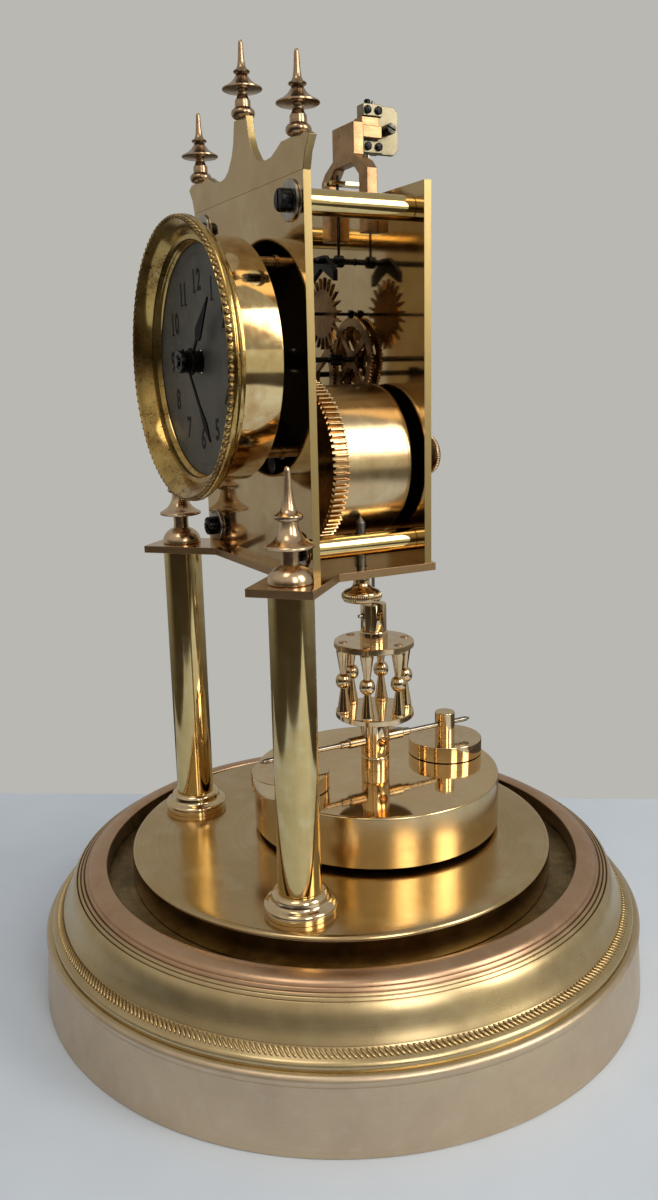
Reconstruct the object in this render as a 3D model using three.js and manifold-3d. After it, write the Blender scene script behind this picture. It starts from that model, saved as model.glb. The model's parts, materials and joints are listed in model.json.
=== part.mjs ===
// Anniversary clock with a torsion pendulum, in millimetres, +Z up.
// The origin is the centre of the base on the surface it stands on, and the dial faces -Y.
import * as THREE from 'three';
import { mergeVertices } from 'three/addons/utils/BufferGeometryUtils.js';
import Module from 'manifold-3d';

const wasm = await Module();
wasm.setup();

// Driving dimensions of the whole clock
const baseRadius = 100;
const baseHeight = 41.2;
const plateauTop = 44.7;
const platformTop = 141;
const plateHeight = 105.4;
const plateHalfWidth = 38.4;
const plateGap = 34.4;
const plateThickness = 2.3;
const frontPlateFrontY = -27.5;
const dialCentreHeight = 59;
const columnSpacing = 84;
const columnAxisY = -36.3;
const pendulumDistance = 2.7;

// Clearances between pieces
const fitGap = 0.3;
const runningGap = 0.6;
const overrun = 1;

// Places that follow from the driving dimensions
const frontPlateRearY = frontPlateFrontY + plateThickness;
const backPlateFrontY = frontPlateRearY + plateGap;
const backPlateRearY = backPlateFrontY + plateThickness;
const plateTop = platformTop + plateHeight;
const dialCentreZ = platformTop + dialCentreHeight;
const pendulumAxisY = backPlateRearY + pendulumDistance;
const columnX = columnSpacing / 2;

// Number of flat sides of the turned pieces
const baseSides = 48;
const dialSides = 40;
const diskSides = 40;
const smallSides = 16;
const finialSides = 12;
const pinSides = 12;

// Takes a geometry to one closed mesh of shared vertices, with its faces pointing out
function closed(geometry) {
  const bare = geometry.clone();
  bare.deleteAttribute('normal');
  bare.deleteAttribute('uv');
  const merged = mergeVertices(bare);
  const index = merged.getIndex().array;
  const place = merged.getAttribute('position');
  const corner = [new THREE.Vector3(), new THREE.Vector3(), new THREE.Vector3()];
  const kept = [];
  let volume = 0;
  for (let i = 0; i < index.length; i += 3) {
    const [a, b, c] = [index[i], index[i + 1], index[i + 2]];
    if (a === b || b === c || c === a) continue;
    corner.forEach((point, k) => point.fromBufferAttribute(place, index[i + k]));
    volume += corner[0].dot(corner[1].cross(corner[2]));
    kept.push(a, b, c);
  }
  if (volume < 0) kept.reverse();
  const result = new THREE.BufferGeometry();
  result.setAttribute('position', place);
  result.setIndex(kept);
  return result;
}

function toSolid(geometry) {
  const mesh = closed(geometry);
  return new wasm.Manifold(new wasm.Mesh({
    numProp: 3,
    vertProperties: new Float32Array(mesh.getAttribute('position').array),
    triVerts: new Uint32Array(mesh.getIndex().array),
  }));
}

function toGeometry(solid) {
  const mesh = solid.getMesh();
  const result = new THREE.BufferGeometry();
  result.setAttribute('position', new THREE.BufferAttribute(mesh.vertProperties, mesh.numProp));
  result.setIndex(new THREE.BufferAttribute(mesh.triVerts, 1));
  return result;
}

// Joins several geometries into one body
function join(...geometries) {
  return toGeometry(geometries.map(toSolid).reduce((whole, next) => whole.add(next)));
}

// Cuts the other geometries out of the first
function cut(geometry, ...tools) {
  return toGeometry(tools.map(toSolid).reduce((whole, next) => whole.subtract(next), toSolid(geometry)));
}

// Turned piece about the Z axis, from an outline of [radius, height] points that closes on itself
function turned(outline, sides) {
  return turnedAlongY(outline, sides).rotateX(Math.PI / 2);
}

// Turned piece about the Y axis, from an outline of [radius, y] points that closes on itself
function turnedAlongY(outline, sides) {
  const points = [...outline, outline[0]].map(([r, y]) => new THREE.Vector2(r, y));
  return closed(new THREE.LatheGeometry(points, sides));
}

// Round bar about the Y axis between two places along it
function rodAlongY(radius, fromY, toY, sides = pinSides) {
  return turnedAlongY([[0, fromY], [radius, fromY], [radius, toY], [0, toY]], sides);
}

// Round bar about the Z axis between two heights
function rodAlongZ(radius, fromZ, toZ, sides = pinSides) {
  return turned([[0, fromZ], [radius, fromZ], [radius, toZ], [0, toZ]], sides);
}

// Flat piece cut from sheet in the XZ plane, between two places along Y
function sheetAlongY(shape, fromY, toY) {
  const options = { depth: toY - fromY, bevelEnabled: false, curveSegments: 6 };
  return closed(new THREE.ExtrudeGeometry(shape, options).rotateX(Math.PI / 2).translate(0, toY, 0));
}

// Flat piece cut from sheet in the XY plane, between two heights
function sheetAlongZ(shape, fromZ, toZ) {
  const options = { depth: toZ - fromZ, bevelEnabled: false, curveSegments: 6 };
  return closed(new THREE.ExtrudeGeometry(shape, options).translate(0, 0, fromZ));
}

// Outline given as y and z, with its thickness along X
function sheetAlongX(shape, fromX, toX) {
  const options = { depth: toX - fromX, bevelEnabled: false, curveSegments: 6 };
  const sheet = new THREE.ExtrudeGeometry(shape, options).rotateX(Math.PI / 2).rotateZ(Math.PI / 2);
  return closed(sheet.translate(fromX, 0, 0));
}

function block(fromX, toX, fromY, toY, fromZ, toZ) {
  const box = new THREE.BoxGeometry(toX - fromX, toY - fromY, toZ - fromZ);
  return box.translate((fromX + toX) / 2, (fromY + toY) / 2, (fromZ + toZ) / 2);
}

function outlineShape(points) {
  return new THREE.Shape(points.map(([x, y]) => new THREE.Vector2(x, y)));
}

// Round hole in a flat shape, with corners on its circle
function roundHole(x, y, radius, sides = pinSides) {
  const points = [];
  for (let i = 0; i < sides; i += 1) {
    const angle = -2 * Math.PI * i / sides;
    points.push(new THREE.Vector2(x + radius * Math.cos(angle), y + radius * Math.sin(angle)));
  }
  return new THREE.Path(points);
}

// Points of a round arc about a centre, ends included
function arcPoints(centreX, centreY, radius, fromAngle, toAngle, steps) {
  const points = [];
  for (let i = 0; i <= steps; i += 1) {
    const angle = fromAngle + (toAngle - fromAngle) * i / steps;
    points.push([centreX + radius * Math.cos(angle), centreY + radius * Math.sin(angle)]);
  }
  return points;
}

const materials = {
  basePink: ['#b59a74', 0.45, 0.9],
  brass: ['#c39b50', 0.2, 1],
  roseBrass: ['#c58f5c', 0.2, 1],
  darkBrass: ['#8a6a36', 0.4, 1],
  steel: ['#8d8f92', 0.35, 1],
  bluedSteel: ['#22242a', 0.35, 0.9],
  silvered: ['#9c9a94', 0.6, 0.4],
};

// Named mesh of one material, at its place in the clock
function piece(name, geometry, materialName, x = 0, y = 0, z = 0) {
  const [color, roughness, metalness] = materials[materialName];
  const material = new THREE.MeshStandardMaterial({ color, roughness, metalness });
  const mesh = new THREE.Mesh(geometry, material);
  mesh.name = name;
  mesh.position.set(x, y, z);
  return mesh;
}

function group(...members) {
  const result = new THREE.Group();
  result.add(...members);
  return result;
}

// Spun base: skirt, shoulder bead, rope band, ogee and ring round the dome groove
const skirtTopRadius = 98.4;
const skirtHeight = 20;
const shoulderRadius = 99;
const shoulderHeight = 22.3;
const bandRadius = 96.4;
const bandHeight = 24.4;
const ropeLowerRadius = 95.7;
const ropeLowerHeight = 25.9;
const ropeUpperRadius = 93.1;
const ropeUpperHeight = 27.6;
const ogeeTopRadius = 88.6;
const ogeeTopHeight = 37.3;
const ringOuterRadius = 84.6;
const ringShoulderHeight = 40;
const grooveOuterRadius = 78.3;
const grooveFloor = 34.8;
const traySeat = grooveFloor - fitGap;
const baseSheet = 2;
const footFlangeWidth = 9;
const ogeeShares = [[0.82, 0.16], [0.6, 0.42], [0.38, 0.74]];
const trayRadius = 84;

function makeBaseShell() {
  const ogee = ogeeShares.map(([outShare, upShare]) => [
    ogeeTopRadius + (ropeUpperRadius - ogeeTopRadius) * outShare,
    ropeUpperHeight + (ogeeTopHeight - ropeUpperHeight) * upShare,
  ]);
  return turned([
    [baseRadius, 0],
    [skirtTopRadius, skirtHeight],
    [shoulderRadius, (skirtHeight + shoulderHeight) / 2],
    [shoulderRadius, shoulderHeight],
    [bandRadius, bandHeight],
    [ropeLowerRadius, ropeLowerHeight],
    [ropeUpperRadius, ropeUpperHeight],
    ...ogee,
    [ogeeTopRadius, ogeeTopHeight],
    [ringOuterRadius, ringShoulderHeight],
    [(ringOuterRadius + grooveOuterRadius) / 2, baseHeight],
    [grooveOuterRadius, baseHeight],
    [grooveOuterRadius, traySeat],
    [trayRadius + baseSheet, traySeat],
    [ropeUpperRadius - baseSheet, ropeUpperHeight - baseSheet],
    [skirtTopRadius - baseSheet, skirtHeight],
    [baseRadius - baseSheet, baseSheet],
    [baseRadius - footFlangeWidth, baseSheet],
    [baseRadius - footFlangeWidth, 0],
  ], baseSides);
}

// Tray under the shell, which carries the plateau, with a raised ring that floors the dome groove
const trayThickness = 2;
const plateauRadius = 70;
const plateauSheet = 2;
const plateauEdge = 0.8;
const trayBottom = traySeat - trayThickness;

function makeBaseTray() {
  return turned([
    [0, trayBottom],
    [trayRadius, trayBottom],
    [trayRadius, traySeat],
    [grooveOuterRadius - fitGap, traySeat],
    [grooveOuterRadius - fitGap, grooveFloor],
    [plateauRadius + fitGap, grooveFloor],
    [plateauRadius + fitGap, traySeat],
    [0, traySeat],
  ], baseSides);
}

function makePlateau() {
  return turned([
    [0, plateauTop],
    [plateauRadius - plateauEdge, plateauTop],
    [plateauRadius, plateauTop - plateauEdge],
    [plateauRadius, traySeat],
    [plateauRadius - plateauSheet, traySeat],
    [plateauRadius - plateauSheet, plateauTop - plateauSheet],
    [0, plateauTop - plateauSheet],
  ], baseSides);
}

// Columns with a turned foot below and a turned finial above the platform
const columnRadius = 6.35;
const footFlangeRadius = 10.7;
const footFlangeHeight = 2.5;
const footRingRadius = 8.2;
const footHeight = 6.6;
const footRounding = 0.7;
const columnStudRadius = 2;
const columnStudLength = 6;
const platformThickness = 2.3;
const columnBottom = plateauTop + footHeight;
const platformBottom = platformTop - platformThickness;

function makeColumn() {
  return turned([
    [0, 0],
    [columnRadius, 0],
    [columnRadius, platformBottom - columnBottom],
    [columnStudRadius, platformBottom - columnBottom],
    [columnStudRadius, platformBottom - columnBottom + columnStudLength],
    [0, platformBottom - columnBottom + columnStudLength],
  ], smallSides);
}

function makeColumnFoot() {
  return turned([
    [0, 0],
    [footFlangeRadius - footRounding, 0],
    [footFlangeRadius, footRounding],
    [footFlangeRadius, footFlangeHeight - footRounding],
    [footFlangeRadius - footRounding, footFlangeHeight],
    [footRingRadius, footFlangeHeight + footRounding],
    [footRingRadius, footHeight - footRounding],
    [footRingRadius - footRounding, footHeight],
    [0, footHeight],
  ], smallSides);
}

const domeRadius = 6.35;
const domeHeight = 5;
const neckRadius = 2.5;
const bellBottom = 9.5;
const bellRadius = 6.9;
const bellRim = 1;
const bellTop = 15.5;
const bellMiddleRadius = 3.9;
const bellMiddleRise = 3;
const collarRadius = 4;
const collarBottom = 17;
const collarHeight = 2.2;
const spireRadius = 1.9;
const spireMiddleHeight = 25;
const spireMiddleRadius = 0.9;
const spireTipRadius = 0.3;
const columnFinialHeight = 31.3;
const domeShares = [[0.94, 0.42], [0.76, 0.78]];

function makeColumnFinial() {
  const body = turned([
    [0, 0],
    [domeRadius, 0],
    ...domeShares.map(([outShare, upShare]) => [domeRadius * outShare, domeHeight * upShare]),
    [neckRadius, domeHeight],
    [neckRadius, bellBottom],
    [bellRadius, bellBottom + bellRim / 2],
    [bellRadius, bellBottom + bellRim],
    [bellMiddleRadius, bellBottom + bellMiddleRise],
    [neckRadius, bellTop],
    [neckRadius, collarBottom],
    [collarRadius, collarBottom + collarHeight / 2],
    [spireRadius, collarBottom + collarHeight],
    [spireMiddleRadius, spireMiddleHeight],
    [spireTipRadius, columnFinialHeight],
    [0, columnFinialHeight],
  ], finialSides);
  const studTop = columnStudLength - platformThickness;
  return cut(body, rodAlongZ(columnStudRadius + fitGap, -overrun, studTop + fitGap));
}

// Platform: a plate with two ears set at 45 degrees on the columns
const earWidth = 19;
const platformFrontLedge = 4;
const platformRearLedge = 1.38;
const platformSideLedge = 0.23;
const platformFrontY = frontPlateFrontY - platformFrontLedge;
const platformRearY = backPlateRearY + platformRearLedge;
const platformHalfWidth = plateHalfWidth + platformSideLedge;
const thumbscrewRadius = 1.5;
const pillarX = 31;
const pillarMiddleY = (frontPlateRearY + backPlateFrontY) / 2;

function makePlatform() {
  const earHalfDiagonal = earWidth / Math.SQRT2;
  const earFront = [columnX, columnAxisY - earHalfDiagonal];
  const earOuter = [columnX + earHalfDiagonal, columnAxisY];
  const rightSide = [
    [earFront[0] - (platformFrontY - earFront[1]), platformFrontY],
    earFront,
    earOuter,
    [platformHalfWidth, earOuter[1] + earOuter[0] - platformHalfWidth],
    [platformHalfWidth, platformRearY],
  ];
  const leftSide = rightSide.map(([x, y]) => [-x, y]).reverse();
  const shape = outlineShape([...rightSide, ...leftSide]);
  for (const side of [-1, 1]) {
    shape.holes.push(roundHole(side * columnX, columnAxisY, columnStudRadius + fitGap));
    shape.holes.push(roundHole(side * pillarX, pillarMiddleY, thumbscrewRadius + fitGap));
  }
  return sheetAlongZ(shape, platformBottom, platformTop);
}

// Wheel train: places of the arbors in the XZ plane and numbers of teeth
const barrelX = 13.5;
const barrelHeight = 29.3;
const barrelTeeth = 84;
const secondTeeth = 70;
const thirdTeeth = 70;
const centreTeeth = 72;
const trainPinionLeaves = 7;
const escapePinionLeaves = 6;
const barrelModule = 0.571;
const secondModule = 0.45;
const thirdModule = 0.4;
const centreModule = 0.349;
const secondArborAngle = THREE.MathUtils.degToRad(161);
const escapeTeeth = 22;
const escapeRadius = 10.6;
const anchorDistance = 15.4;

const barrelPlace = new THREE.Vector2(barrelX, platformTop + barrelHeight);
const centrePlace = new THREE.Vector2(0, dialCentreZ);
const barrelToSecond = barrelModule * (barrelTeeth + trainPinionLeaves) / 2;
const secondToThird = secondModule * (secondTeeth + trainPinionLeaves) / 2;
const thirdToCentre = thirdModule * (thirdTeeth + trainPinionLeaves) / 2;
const centreToEscape = centreModule * (centreTeeth + escapePinionLeaves) / 2;
const secondPlace = new THREE.Vector2(Math.cos(secondArborAngle), Math.sin(secondArborAngle))
  .multiplyScalar(barrelToSecond)
  .add(barrelPlace);
const thirdPlace = meetingPoint(secondPlace, secondToThird, centrePlace, thirdToCentre);
const escapePlace = new THREE.Vector2(0, dialCentreZ + centreToEscape);
const anchorPlace = new THREE.Vector2(0, escapePlace.y + anchorDistance);

// Point at given distances from two places, on the left of the way from the first to the second
function meetingPoint(first, firstDistance, second, secondDistance) {
  const along = second.clone().sub(first);
  const apart = along.length();
  along.normalize();
  const reach = (firstDistance ** 2 - secondDistance ** 2 + apart ** 2) / (2 * apart);
  const aside = Math.sqrt(firstDistance ** 2 - reach ** 2);
  const left = new THREE.Vector2(-along.y, along.x);
  return first.clone().addScaledVector(along, reach).addScaledVector(left, aside);
}

// Angle of a tooth of the second wheel, so that it meshes with the first at rest
function meshAngle(firstPlace, firstAngle, firstTeeth, nextPlace, nextTeeth) {
  const way = nextPlace.clone().sub(firstPlace).angle();
  return way + Math.PI - (firstAngle - way) * firstTeeth / nextTeeth + Math.PI / nextTeeth;
}

// Toothed outline with pointed teeth, which leave a gap to the teeth of the other wheel
const addendumShare = 0.75;
const dedendumShare = 1.3;

function toothedShape(teeth, module, angle) {
  const pitchRadius = module * teeth / 2;
  const tipRadius = pitchRadius + addendumShare * module;
  const rootRadius = pitchRadius - dedendumShare * module;
  const points = [];
  for (let i = 0; i < teeth; i += 1) {
    const tip = angle + 2 * Math.PI * i / teeth;
    const root = tip + Math.PI / teeth;
    points.push([tipRadius * Math.cos(tip), tipRadius * Math.sin(tip)]);
    points.push([rootRadius * Math.cos(root), rootRadius * Math.sin(root)]);
  }
  return outlineShape(points);
}

// Openings between the spokes of a wheel
const spokeCount = 4;
const spokeHubRadius = 3;
const spokeRimShare = 0.8;
const spokeShare = 0.16;

function addSpokes(shape, pitchRadius, angle) {
  const rim = pitchRadius * spokeRimShare;
  const step = 2 * Math.PI / spokeCount;
  for (let i = 0; i < spokeCount; i += 1) {
    const from = angle + step * (i + spokeShare / 2);
    const to = angle + step * (i + 1 - spokeShare / 2);
    const outer = arcPoints(0, 0, rim, from, to, 4);
    const inner = arcPoints(0, 0, spokeHubRadius, to - spokeShare, from + spokeShare, 1);
    shape.holes.push(new THREE.Path([...outer, ...inner].map(([x, y]) => new THREE.Vector2(x, y))));
  }
}

// Plates, with holes for pillars, arbors and the winding arbor
const pillarRadius = 3.4;
const pillarInset = 6.4;
const pillarTopZ = plateTop - pillarInset;
const pillarBottomZ = platformTop + pillarInset;
const pillarScrewRadius = 1.5;
const pillarRivetRadius = 1.7;
const pillarRivetPast = 1.2;
const pillarBoreDepth = 6;
const arborRadius = 0.9;
const centreArborRadius = 0.85;
const escapeArborRadius = 0.5;
const windingArborRadius = 2.2;
const minuteStudRadius = 0.6;
const minuteStudLength = 7.7;

function plateShape(pillarHoleRadius) {
  const shape = outlineShape([
    [-plateHalfWidth, platformTop],
    [plateHalfWidth, platformTop],
    [plateHalfWidth, plateTop],
    [-plateHalfWidth, plateTop],
  ]);
  for (const x of [-pillarX, pillarX]) {
    for (const z of [pillarBottomZ, pillarTopZ]) {
      shape.holes.push(roundHole(x, z, pillarHoleRadius));
    }
  }
  for (const place of [secondPlace, thirdPlace, anchorPlace]) {
    shape.holes.push(roundHole(place.x, place.y, arborRadius + fitGap, 8));
  }
  shape.holes.push(roundHole(escapePlace.x, escapePlace.y, escapeArborRadius + fitGap, 8));
  shape.holes.push(roundHole(centrePlace.x, centrePlace.y, centreArborRadius + fitGap));
  shape.holes.push(roundHole(barrelPlace.x, barrelPlace.y, windingArborRadius + fitGap));
  return shape;
}

// Motion work in front of the front plate
const cannonTeeth = 12;
const minuteWheelTeeth = 36;
const minutePinionLeaves = 10;
const hourWheelTeeth = 40;
const motionModule = 0.35;
const hourModule = motionModule * (cannonTeeth + minuteWheelTeeth) / (minutePinionLeaves + hourWheelTeeth);
const motionDistance = motionModule * (cannonTeeth + minuteWheelTeeth) / 2;
const minuteWheelPlace = new THREE.Vector2(-motionDistance, dialCentreZ);

function makeFrontPlate() {
  const sheet = sheetAlongY(plateShape(pillarScrewRadius + fitGap), frontPlateFrontY, frontPlateRearY);
  const stud = rodAlongY(minuteStudRadius, frontPlateFrontY - minuteStudLength, frontPlateRearY);
  return join(sheet, stud.translate(minuteWheelPlace.x, 0, minuteWheelPlace.y));
}

function makeBackPlate() {
  return sheetAlongY(plateShape(pillarRivetRadius + fitGap), backPlateFrontY, backPlateRearY);
}

// Pillars with a bore for the front screw and a riveted stud behind
function makePillar(hasThumbscrew) {
  const body = turnedAlongY([
    [0, plateGap + plateThickness + pillarRivetPast],
    [pillarRivetRadius, plateGap + plateThickness + pillarRivetPast],
    [pillarRivetRadius, plateGap],
    [pillarRadius, plateGap],
    [pillarRadius, 0],
    [pillarScrewRadius + fitGap, 0],
    [pillarScrewRadius + fitGap, pillarBoreDepth],
    [0, pillarBoreDepth],
  ], smallSides);
  if (!hasThumbscrew) return body;
  const hole = rodAlongZ(thumbscrewRadius + fitGap, -pillarRadius - overrun, pillarRadius + overrun);
  return cut(body, hole.translate(0, pillarMiddleY - frontPlateRearY, 0));
}

const washerRadius = 5.3;
const washerThickness = 0.8;
const screwHeadRadius = 3;
const screwHeadHeight = 3;
const screwSlotWidth = 0.8;
const screwSlotDepth = 0.9;
const screwLength = plateThickness + pillarBoreDepth - runningGap;

function makePillarScrew() {
  const body = turnedAlongY([
    [0, -washerThickness - screwHeadHeight],
    [screwHeadRadius, -washerThickness - screwHeadHeight],
    [screwHeadRadius, -washerThickness],
    [washerRadius, -washerThickness],
    [washerRadius, 0],
    [pillarScrewRadius, 0],
    [pillarScrewRadius, screwLength],
    [0, screwLength],
  ], pinSides);
  const slotBottom = screwSlotDepth - washerThickness - screwHeadHeight;
  const slot = block(-washerRadius, washerRadius, slotBottom - screwHeadHeight, slotBottom,
    -screwSlotWidth / 2, screwSlotWidth / 2);
  return cut(body, slot);
}

// Thumbscrews from below the platform into the lower pillars
const knobRadius = 6;
const knobHeight = 3.6;
const knobRounding = 0.8;
const knobNeckRadius = 2.6;
const knobNeckHeight = 4.6;
const thumbscrewTip = 14.4;
const thumbscrewPoint = 2;

function makeThumbscrew() {
  return turned([
    [0, -knobNeckHeight - knobHeight],
    [knobRadius - knobRounding, -knobNeckHeight - knobHeight],
    [knobRadius, -knobNeckHeight - knobHeight + knobRounding],
    [knobRadius, -knobNeckHeight - knobRounding],
    [knobRadius - knobRounding, -knobNeckHeight],
    [knobNeckRadius, -knobNeckHeight],
    [knobNeckRadius, 0],
    [thumbscrewRadius, 0],
    [thumbscrewRadius, platformThickness + thumbscrewTip - thumbscrewPoint],
    [0, platformThickness + thumbscrewTip],
  ], finialSides);
}

// Gable on the front plate: a tower between two hollow sweeps and two shoulders
const towerHalfWidth = 4.2;
const towerHeight = 20.2;
const sweepLowHeight = 6.1;
const sweepLowX = 15.6;
const shoulderInnerX = 26;
const gableShoulderHeight = 8.9;
const gableTipX = 42.2;
const gableTipHeight = 7.7;
const gableEndX = 39.6;
const gableEndHeight = 4;
const sweepShares = [[0.1, 0.6], [0.24, 0.36], [0.5, 0.12], [0.76, 0.02]];
const riseShares = [[0.4, 0.1], [0.72, 0.55]];

function makeGable() {
  const sweep = sweepShares.map(([outShare, upShare]) => [
    towerHalfWidth + (sweepLowX - towerHalfWidth) * outShare,
    sweepLowHeight + (towerHeight - sweepLowHeight) * upShare,
  ]);
  const rise = riseShares.map(([outShare, upShare]) => [
    sweepLowX + (shoulderInnerX - sweepLowX) * outShare,
    sweepLowHeight + (gableShoulderHeight - sweepLowHeight) * upShare,
  ]);
  const rightSide = [
    [plateHalfWidth, 0],
    [gableEndX, gableEndHeight],
    [gableTipX, gableTipHeight],
    [gableEndX, gableShoulderHeight],
    [shoulderInnerX, gableShoulderHeight],
    ...rise.reverse(),
    [sweepLowX, sweepLowHeight],
    ...sweep.reverse(),
    [towerHalfWidth, towerHeight],
  ];
  const leftSide = rightSide.map(([x, z]) => [-x, z]).reverse();
  return sheetAlongY(outlineShape([...rightSide, ...leftSide]), 0, plateThickness);
}

const gableBallRadius = 3.4;
const gableBallHeight = 2.6;
const gableFootRadius = 2.9;
const gableRingRadius = 2.2;
const gableRingTop = 4.8;
const gableNeckRadius = 1.4;
const saucerRadius = 5.7;
const saucerBottom = 7.2;
const saucerRim = 0.7;
const saucerTop = 10;
const gableCollarBottom = 11.8;
const gableCollarRadius = 2.4;
const gableCollarThickness = 0.7;
const spireFootHeight = 13.6;
const spireFootRadius = 1.1;
const gableSpireRadius = 0.5;
const gableFinialHeight = 20.3;
const gableFinialX = 34.3;

function makeGableFinial() {
  return turned([
    [0, 0],
    [gableFootRadius, 0],
    [gableBallRadius, gableBallHeight / 2],
    [gableRingRadius, gableBallHeight],
    [gableRingRadius, gableRingTop],
    [gableNeckRadius, (gableRingTop + saucerBottom) / 2],
    [saucerRadius, saucerBottom],
    [saucerRadius, saucerBottom + saucerRim],
    [gableRingRadius, saucerTop],
    [gableNeckRadius, gableCollarBottom],
    [gableCollarRadius, gableCollarBottom],
    [gableCollarRadius, gableCollarBottom + gableCollarThickness],
    [spireFootRadius, spireFootHeight],
    [gableSpireRadius, gableFinialHeight],
    [0, gableFinialHeight],
  ], pinSides);
}

// Suspension cock: two legs and an arch on the back plate, a block and an arm to the rear
const cockThickness = 3.6;
const cockFootDrop = 10.4;
const cockFootZ = plateTop - cockFootDrop;
const cockLegOuterX = 14;
const cockLegWidth = 4.8;
const cockShoulderRise = 9.6;
const archTopRise = 9.8;
const cockShoulderZ = plateTop + cockShoulderRise;
const archTopZ = plateTop + archTopRise;
const archCornerX = 5.2;
const archCornerRise = 6.1;
const archCornerZ = plateTop + archCornerRise;
const cockBlockHalfWidth = 6.5;
const cockWaistRise = 12.2;
const cockTopRise = 21.2;
const armHeight = 3.6;
const armPastPendulum = 2.8;
const cockWaistZ = plateTop + cockWaistRise;
const cockTopZ = plateTop + cockTopRise;
const armBottomZ = cockTopZ - armHeight;
const armRearY = pendulumAxisY + armPastPendulum;
const cockFrontY = backPlateFrontY - cockThickness;
const armHalfWidth = 4;
const saddleHalfWidth = 2.4;
const saddleLength = 6.1;
const saddleHeight = 2.7;
const saddleTopZ = cockTopZ + saddleHeight;

function makeCock() {
  const legInnerX = cockLegOuterX - cockLegWidth;
  const rightSide = [
    [legInnerX, cockFootZ],
    [cockLegOuterX, cockFootZ],
    [cockLegOuterX, cockShoulderZ - cockLegWidth / 2],
    [cockLegOuterX - cockLegWidth / 2, cockShoulderZ],
    [cockBlockHalfWidth, cockWaistZ],
    [cockBlockHalfWidth, cockTopZ],
  ];
  const leftSide = rightSide.map(([x, z]) => [-x, z]).reverse();
  const arch = [
    [-legInnerX, archCornerZ],
    [-archCornerX, archTopZ],
    [archCornerX, archTopZ],
    [legInnerX, archCornerZ],
  ];
  const frame = sheetAlongY(outlineShape([...rightSide, ...leftSide, ...arch]), cockFrontY, backPlateFrontY);
  const arm = block(-armHalfWidth, armHalfWidth, cockFrontY, armRearY, armBottomZ, cockTopZ);
  const saddle = block(-saddleHalfWidth, saddleHalfWidth, armRearY - saddleLength, armRearY,
    armBottomZ, saddleTopZ);
  return join(frame, arm, saddle);
}

// Steel chops that hold the suspension spring: a jaw above and one below the arm, joined by a plate behind it
const jawHalfWidth = 2;
const jawHeight = 3.4;
const jawDepth = 2.4;
const jawLap = 1;
const jawFrontY = pendulumAxisY - jawDepth;
const chopPlateHalfThickness = 0.8;
const chopPlateLength = 7.3;
const chopPlateCorner = 1.6;
const chopFrontY = armRearY + fitGap;
const chopRearY = chopFrontY + chopPlateLength;
const upperJawBottom = saddleTopZ + fitGap;
const lowerJawTop = armBottomZ - fitGap;
const chopTop = upperJawBottom + jawHeight;
const chopBottom = lowerJawTop - jawHeight;
const chopScrewRadius = 0.9;
const chopScrewLength = 3.2;
const chopScrewShare = 0.4;
const chopScrewY = chopFrontY + chopScrewShare * chopPlateLength;
const chopScrewZ = (armBottomZ + saddleTopZ) / 2;
const chopHeadRadius = 1.6;
const chopHeadHeight = 3.3;
const chopSlotShare = 0.25;

function makeChops() {
  const shape = outlineShape([
    [chopFrontY, chopBottom],
    [chopRearY - chopPlateCorner, chopBottom],
    [chopRearY, chopBottom + chopPlateCorner],
    [chopRearY, chopTop - chopPlateCorner],
    [chopRearY - chopPlateCorner, chopTop],
    [chopFrontY, chopTop],
  ]);
  shape.holes.push(roundHole(chopScrewY, chopScrewZ, chopScrewRadius + fitGap));
  const plate = sheetAlongX(shape, -chopPlateHalfThickness, chopPlateHalfThickness);
  const seatY = chopFrontY + jawLap;
  const upper = block(-jawHalfWidth, jawHalfWidth, jawFrontY, seatY, upperJawBottom, chopTop);
  const lower = block(-jawHalfWidth, jawHalfWidth, jawFrontY, seatY, chopBottom, lowerJawTop);
  return join(plate, upper, lower);
}

function makeChopScrew() {
  const body = turned([
    [0, -chopScrewLength],
    [chopScrewRadius, -chopScrewLength],
    [chopScrewRadius, 0],
    [chopHeadRadius, 0],
    [chopHeadRadius, chopHeadHeight],
    [0, chopHeadHeight],
  ], pinSides);
  const slot = block(-chopHeadRadius, chopHeadRadius, -screwSlotWidth / 2, screwSlotWidth / 2,
    chopHeadHeight * (1 - chopSlotShare), chopHeadHeight + overrun);
  return cut(body, slot).rotateY(Math.PI / 2);
}

// Heights of the pendulum's pieces
const hookRadius = 4.3;
const hookSlotWidth = 2.2;
const hookSlotDepth = 5.2;
const hubRadius = 4.7;
const gallerySheet = 2.1;
const galleryRadius = 13.4;
const galleryLowerRadius = 13.2;
const balusterCount = 6;
const balusterCircle = 10.8;
const balusterBallRadius = 2.6;
const balusterEndRadius = 2.3;
const balusterWaistRadius = 1.1;
const balusterPhase = THREE.MathUtils.degToRad(17);
const diskRadius = 41.8;
const diskLift = 1.4;
const diskHeight = 17.4;
const diskBottom = plateauTop + diskLift;
const diskTop = diskBottom + diskHeight;
const diskBevel = 0.7;
const postRadius = 4.85;
const postHeight = 18.8;
const galleryHeight = 26.4;
const hubHeight = 3.3;
const hookHeight = 9.3;
const galleryBottom = diskTop + postHeight;
const galleryTop = galleryBottom + galleryHeight;
const hookBottom = galleryTop + hubHeight;
const hookTop = hookBottom + hookHeight;
const postGrooveDepth = 0.4;
const postGrooveHeight = 4.6;
const postKeyHoleRadius = 1.6;
const rodLift = 10.4;
const rodHeight = diskTop + rodLift;
const rodRadius = 0.9;
const rodHalfLength = 41.3;
const rodShift = -1.85;
const sleeveRadius = 1.6;
const sleeveReach = 11.15;
const rodBoreRadius = rodRadius + fitGap;
const weightOffset = 30.65;
const weightRadius = 12.9;
const weightDiskHeight = 5.2;
const weightPostRadius = 3.5;
const weightHeight = 14.9;
const weightTop = diskTop + weightHeight;
const weightLift = 0.4;
const weightBevel = 0.3;

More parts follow.
